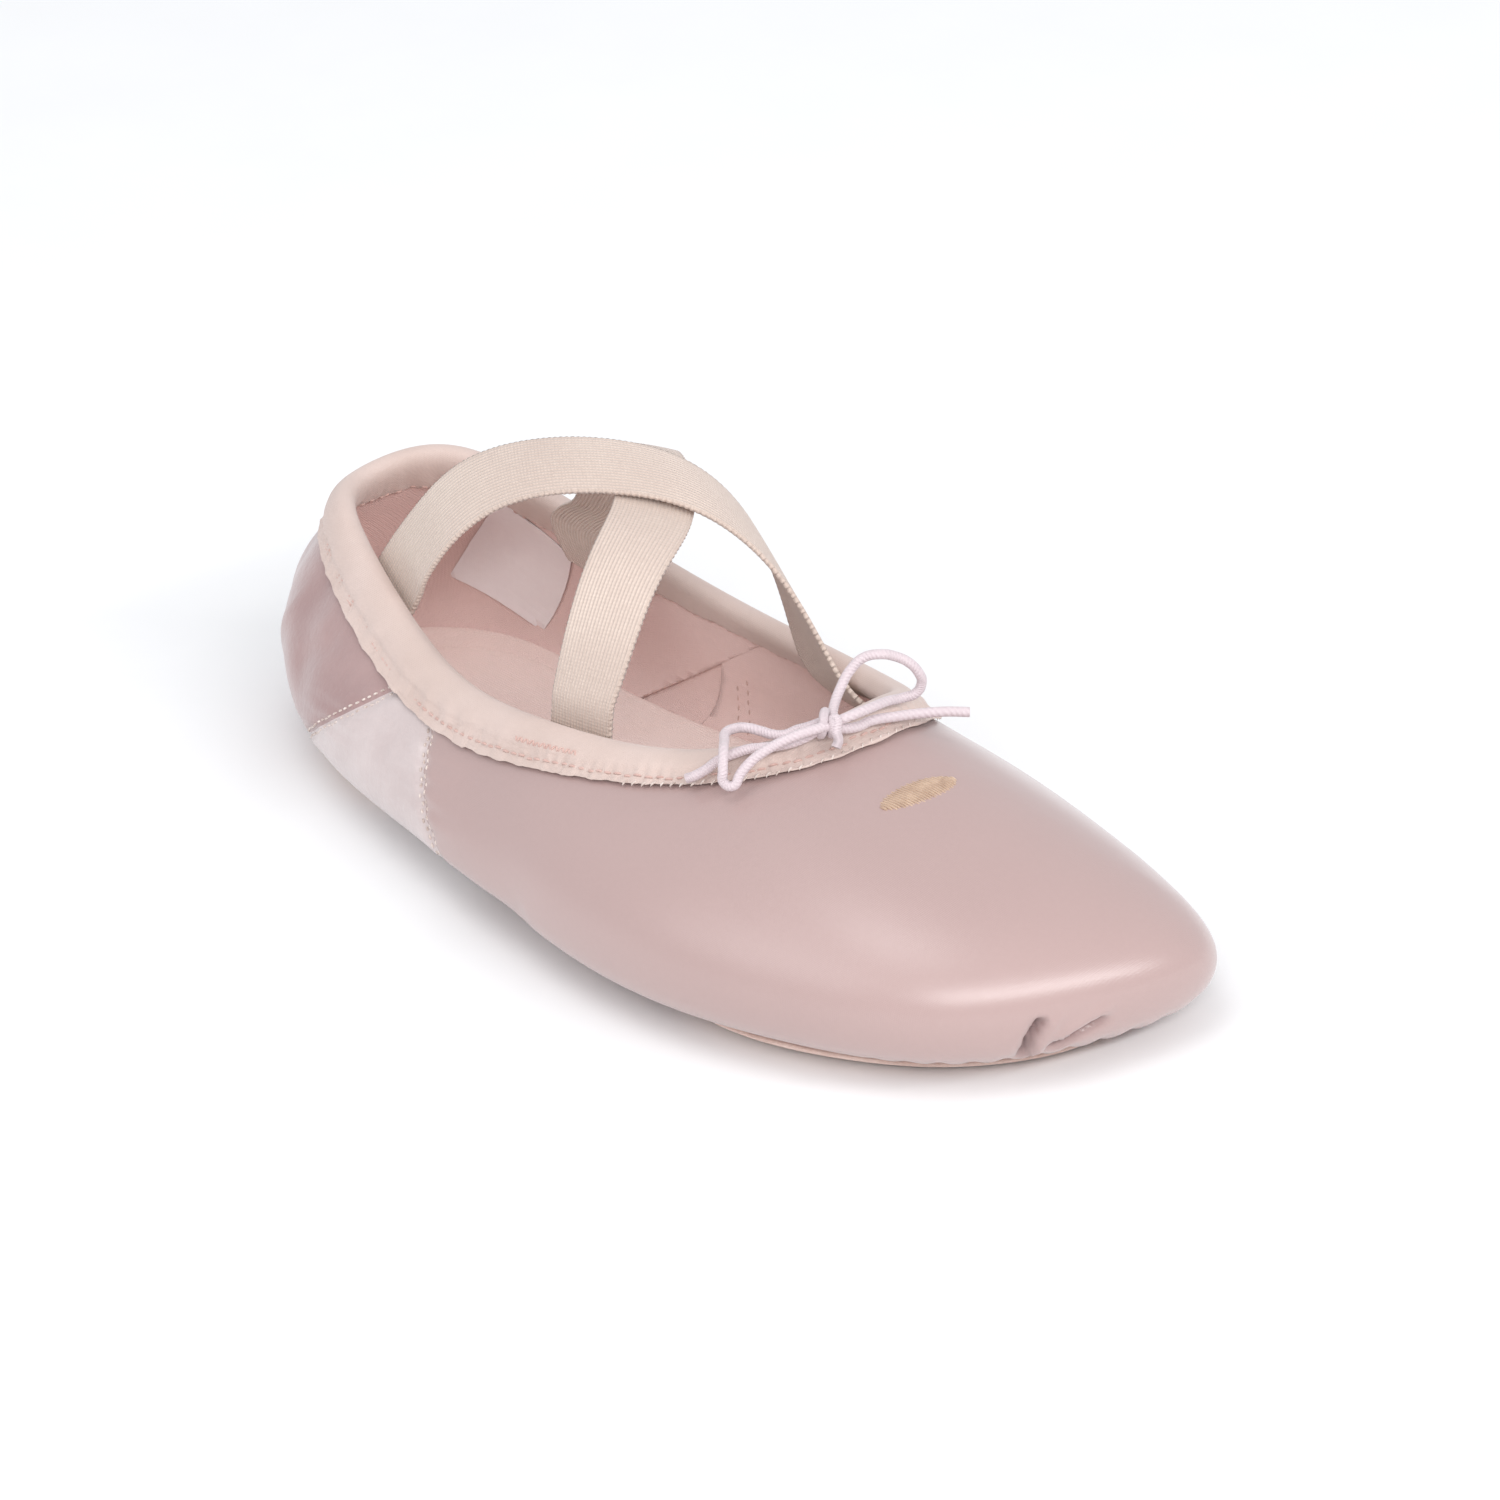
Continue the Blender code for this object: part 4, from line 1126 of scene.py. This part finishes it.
tack_run = run_near(place(0.48, -0.60, 0.75))
rear_run = run_near(place(0.17, -0.42, 0.85))
for start, length, drop in ((tack_run - 8.0 * MM, 17.0 * MM, 4.9 * MM),
                            (rear_run - 18.0 * MM, 34.0 * MM, 6.2 * MM)):
    runs = start + np.arange(0.0, length, 0.5 * MM)
    casing_rows.append(zigzag(casing_surface, collar_places(runs, drop, 2.0 * MM), 0.8 * MM, 1.3 * MM))
stitch_rows("casing_stitches", casing_rows, STITCH_THICKNESS, thread, "cotton_binding")

# %% [markdown]
# Round the throat the lip's raw edge is whipped with slanting threads that reach over it.

# %% Whipped edge at the throat
runs = THROAT_RUN + np.arange(-34.0, 36.0, 0.5) * MM
edge_line = collar_places(runs, 9.5 * MM, 1.5 * MM)
whipped = dashes(casing_surface, edge_line, 2.1 * MM, share=0.5, lift=0.05 * MM, slant=0.55 * MM)
stitch_rows("whipped_edge", [whipped], 0.45 * MM, glossy_thread, "cotton_binding")

# %% [markdown]
# Each satin seam is topstitched on both of its sides in a glossy thread that glints against the
# satin. The seam's line is found on the panels' cut edges, sorted from the casing down.

# %% Stitches of the satin seams
SEAM_STITCH_PITCH = 1.7 * MM


def seam_line(panel, point, normal, inner_side):
    """The points of a panel's cut edge in a plane, on one side of the slipper, from the top down."""
    points = read(panel.data.vertices, "co")
    on_plane = np.abs(plane_distance(points, point, normal)) < 0.01 * MM
    on_side = (points[:, 1] > 0.0) == inner_side
    line = points[on_plane & on_side]
    line = line[np.argsort(-line[:, 2])]
    return line[line[:, 2] > 0.10 * COLLAR_HEIGHT]


seam_rows = []
skin_surface = surface_of(satin_skin)
for inner_side in (False, True):
    waist_line = seam_line(vamp, WAIST_SEAM_POINT, WAIST_SEAM_NORMAL, inner_side)
    rear_line = seam_line(heel, REAR_SEAM_POINT, REAR_SEAM_NORMAL, inner_side)
    for line in (waist_line, rear_line):
        for across in (-0.95 * MM, 0.95 * MM):
            seam_rows.append(dashes(skin_surface, line, SEAM_STITCH_PITCH, share=0.74, lift=0.05 * MM,
                                    across=across))
stitch_rows("seam_stitches", seam_rows, 0.50 * MM, glossy_thread, "satin")

# %% [markdown]
# Inside, the overlays of the lining are sewn along their front edges, and two upright rows hold the
# side lining. The rows lie on the lining's surface, found from inside.

# %% Stitches of the lining


def inner_line(points):
    """A line of places on the lining from shares of the slipper's sizes."""
    return np.array([place(*share) for share in points])


rear_surface = surface_of(rear_lining)
side_surface = surface_of(side_lining)
REAR_EDGE = ((0.270, 0.45, 0.13), (0.305, 0.60, 0.19), (0.335, 0.66, 0.28), (0.365, 0.69, 0.44))
SIDE_EDGES = (((0.405, 0.70, 0.45), (0.408, 0.68, 0.32), (0.420, 0.62, 0.22)),
              ((0.393, 0.70, 0.45), (0.396, 0.68, 0.32), (0.405, 0.62, 0.22)))
lining_rows = [dashes(rear_surface, inner_line(REAR_EDGE), 2.2 * MM)]
lining_rows += [dashes(side_surface, inner_line(edge), 2.0 * MM) for edge in SIDE_EDGES]
stitch_rows("lining_stitches", lining_rows, 0.40 * MM, thread, "satin")

# %% [markdown]
# A plain satin-stitched oval decorates the vamp. It is filled with close slanting threads, each as
# long as the oval is wide there.

# %% Embroidered oval
OVAL_MIDDLE = place(0.778, 0.085, 0.86)
OVAL_LONG = 8.6 * MM
OVAL_SHORT = 3.9 * MM
OVAL_THREADS = 27

vamp_surface = surface_of(vamp)
long_way = Vector((0.04, 1.0, 0.0)).normalized()
short_way = Vector((1.0, -0.04, 0.0)).normalized()
starts, ends, outs = [], [], []
for number in range(OVAL_THREADS):
    share = -0.97 + 1.94 * number / (OVAL_THREADS - 1)
    half = OVAL_SHORT * math.sqrt(1.0 - share * share) * (1.0 + 0.05 * (-1) ** number)
    slant = long_way * 0.35 * half
    pair = [OVAL_MIDDLE + long_way * OVAL_LONG * share + sign * (short_way * half + slant)
            for sign in (-1.0, 1.0)]
    found, out = settle(vamp_surface, pair, 10.0 * MM)
    starts.append(found[0] + out[0] * 0.12 * MM)
    ends.append(found[1] + out[1] * 0.12 * MM)
    outs.append(out[0])
stitch_rows("embroidered_oval", [(starts, ends, outs)], 0.62 * MM, gold_thread, "satin")

# %% [markdown]
# A bare woven label is sewn to the rear lining. Its four corners are places on the lining, and a
# grid between them is laid on the surface.

# %% Bare label
LABEL_CORNERS = ((0.122, 0.526, 0.79), (0.188, 0.665, 0.61), (0.144, 0.642, 0.20), (0.054, 0.495, 0.36))
LABEL_STEPS = 14

bpy.ops.object.select_all(action="DESELECT")
bpy.ops.mesh.primitive_grid_add(x_subdivisions=LABEL_STEPS, y_subdivisions=LABEL_STEPS, size=2.0)
label = bpy.context.object
label.name = "bare_label"
flat = 0.5 * (read(label.data.vertices, "co")[:, :2] + 1.0)
a, b, c, d = (np.array(place(*corner)) for corner in LABEL_CORNERS)
u, v = flat[:, :1], flat[:, 1:]
grid = (1 - v) * ((1 - u) * a + u * b) + v * ((1 - u) * d + u * c)
found, out = settle(rear_surface, grid, 12.0 * MM)
inward = np.array([0.1 * LENGTH, 0.0, 0.5 * COLLAR_HEIGHT]) - found
out *= np.sign((out * inward).sum(1, keepdims=True))
ripple = 0.10 * MM * np.sin(7.0 * u + 4.0 * v)
write_points(label, found + out * (0.30 * MM + ripple))
apply_modifier(label, "SOLIDIFY", thickness=0.2 * MM, offset=0.0)

dress(label, label_tape, "satin")

# %% [markdown]
# The suede patches are sewn on with a row near their edges. The row is seen from below: it is an
# oval a little inside each patch, found on the suede's lower side.

# %% Stitches of the suede patches


def patch_row(piece, inset, pitch):
    """Stitches a little inside a patch's outline, on its lower side."""
    points = read(piece.data.vertices, "co")
    middle = 0.5 * (points.max(0) + points.min(0))
    angle = np.arctan2(points[:, 1] - middle[1], points[:, 0] - middle[0])
    reach = np.linalg.norm(points[:, :2] - middle[:2], axis=1)
    line = []
    for step in range(72):
        turn = 2.0 * math.pi * step / 72 - math.pi
        close = np.abs(np.angle(np.exp(1j * (angle - turn)))) < 0.06
        radius = reach[close].max() - inset
        line.append((middle[0] + radius * math.cos(turn), middle[1] + radius * math.sin(turn), -2.0 * MM))
    line.append(line[0])
    return dashes(surface_of(piece), np.array(line), pitch, lift=0.05 * MM)


patch_rows = [patch_row(bpy.data.objects[name], 2.6 * MM, 2.6 * MM)
              for name in ("forefoot_suede", "heel_suede")]
stitch_rows("patch_stitches", patch_rows, 0.45 * MM, thread, "suede")

# %% [markdown]
# ## Finish
#
# The working copy of the satin skin is removed.

# %% Finish the model
bpy.data.objects.remove(satin_skin)
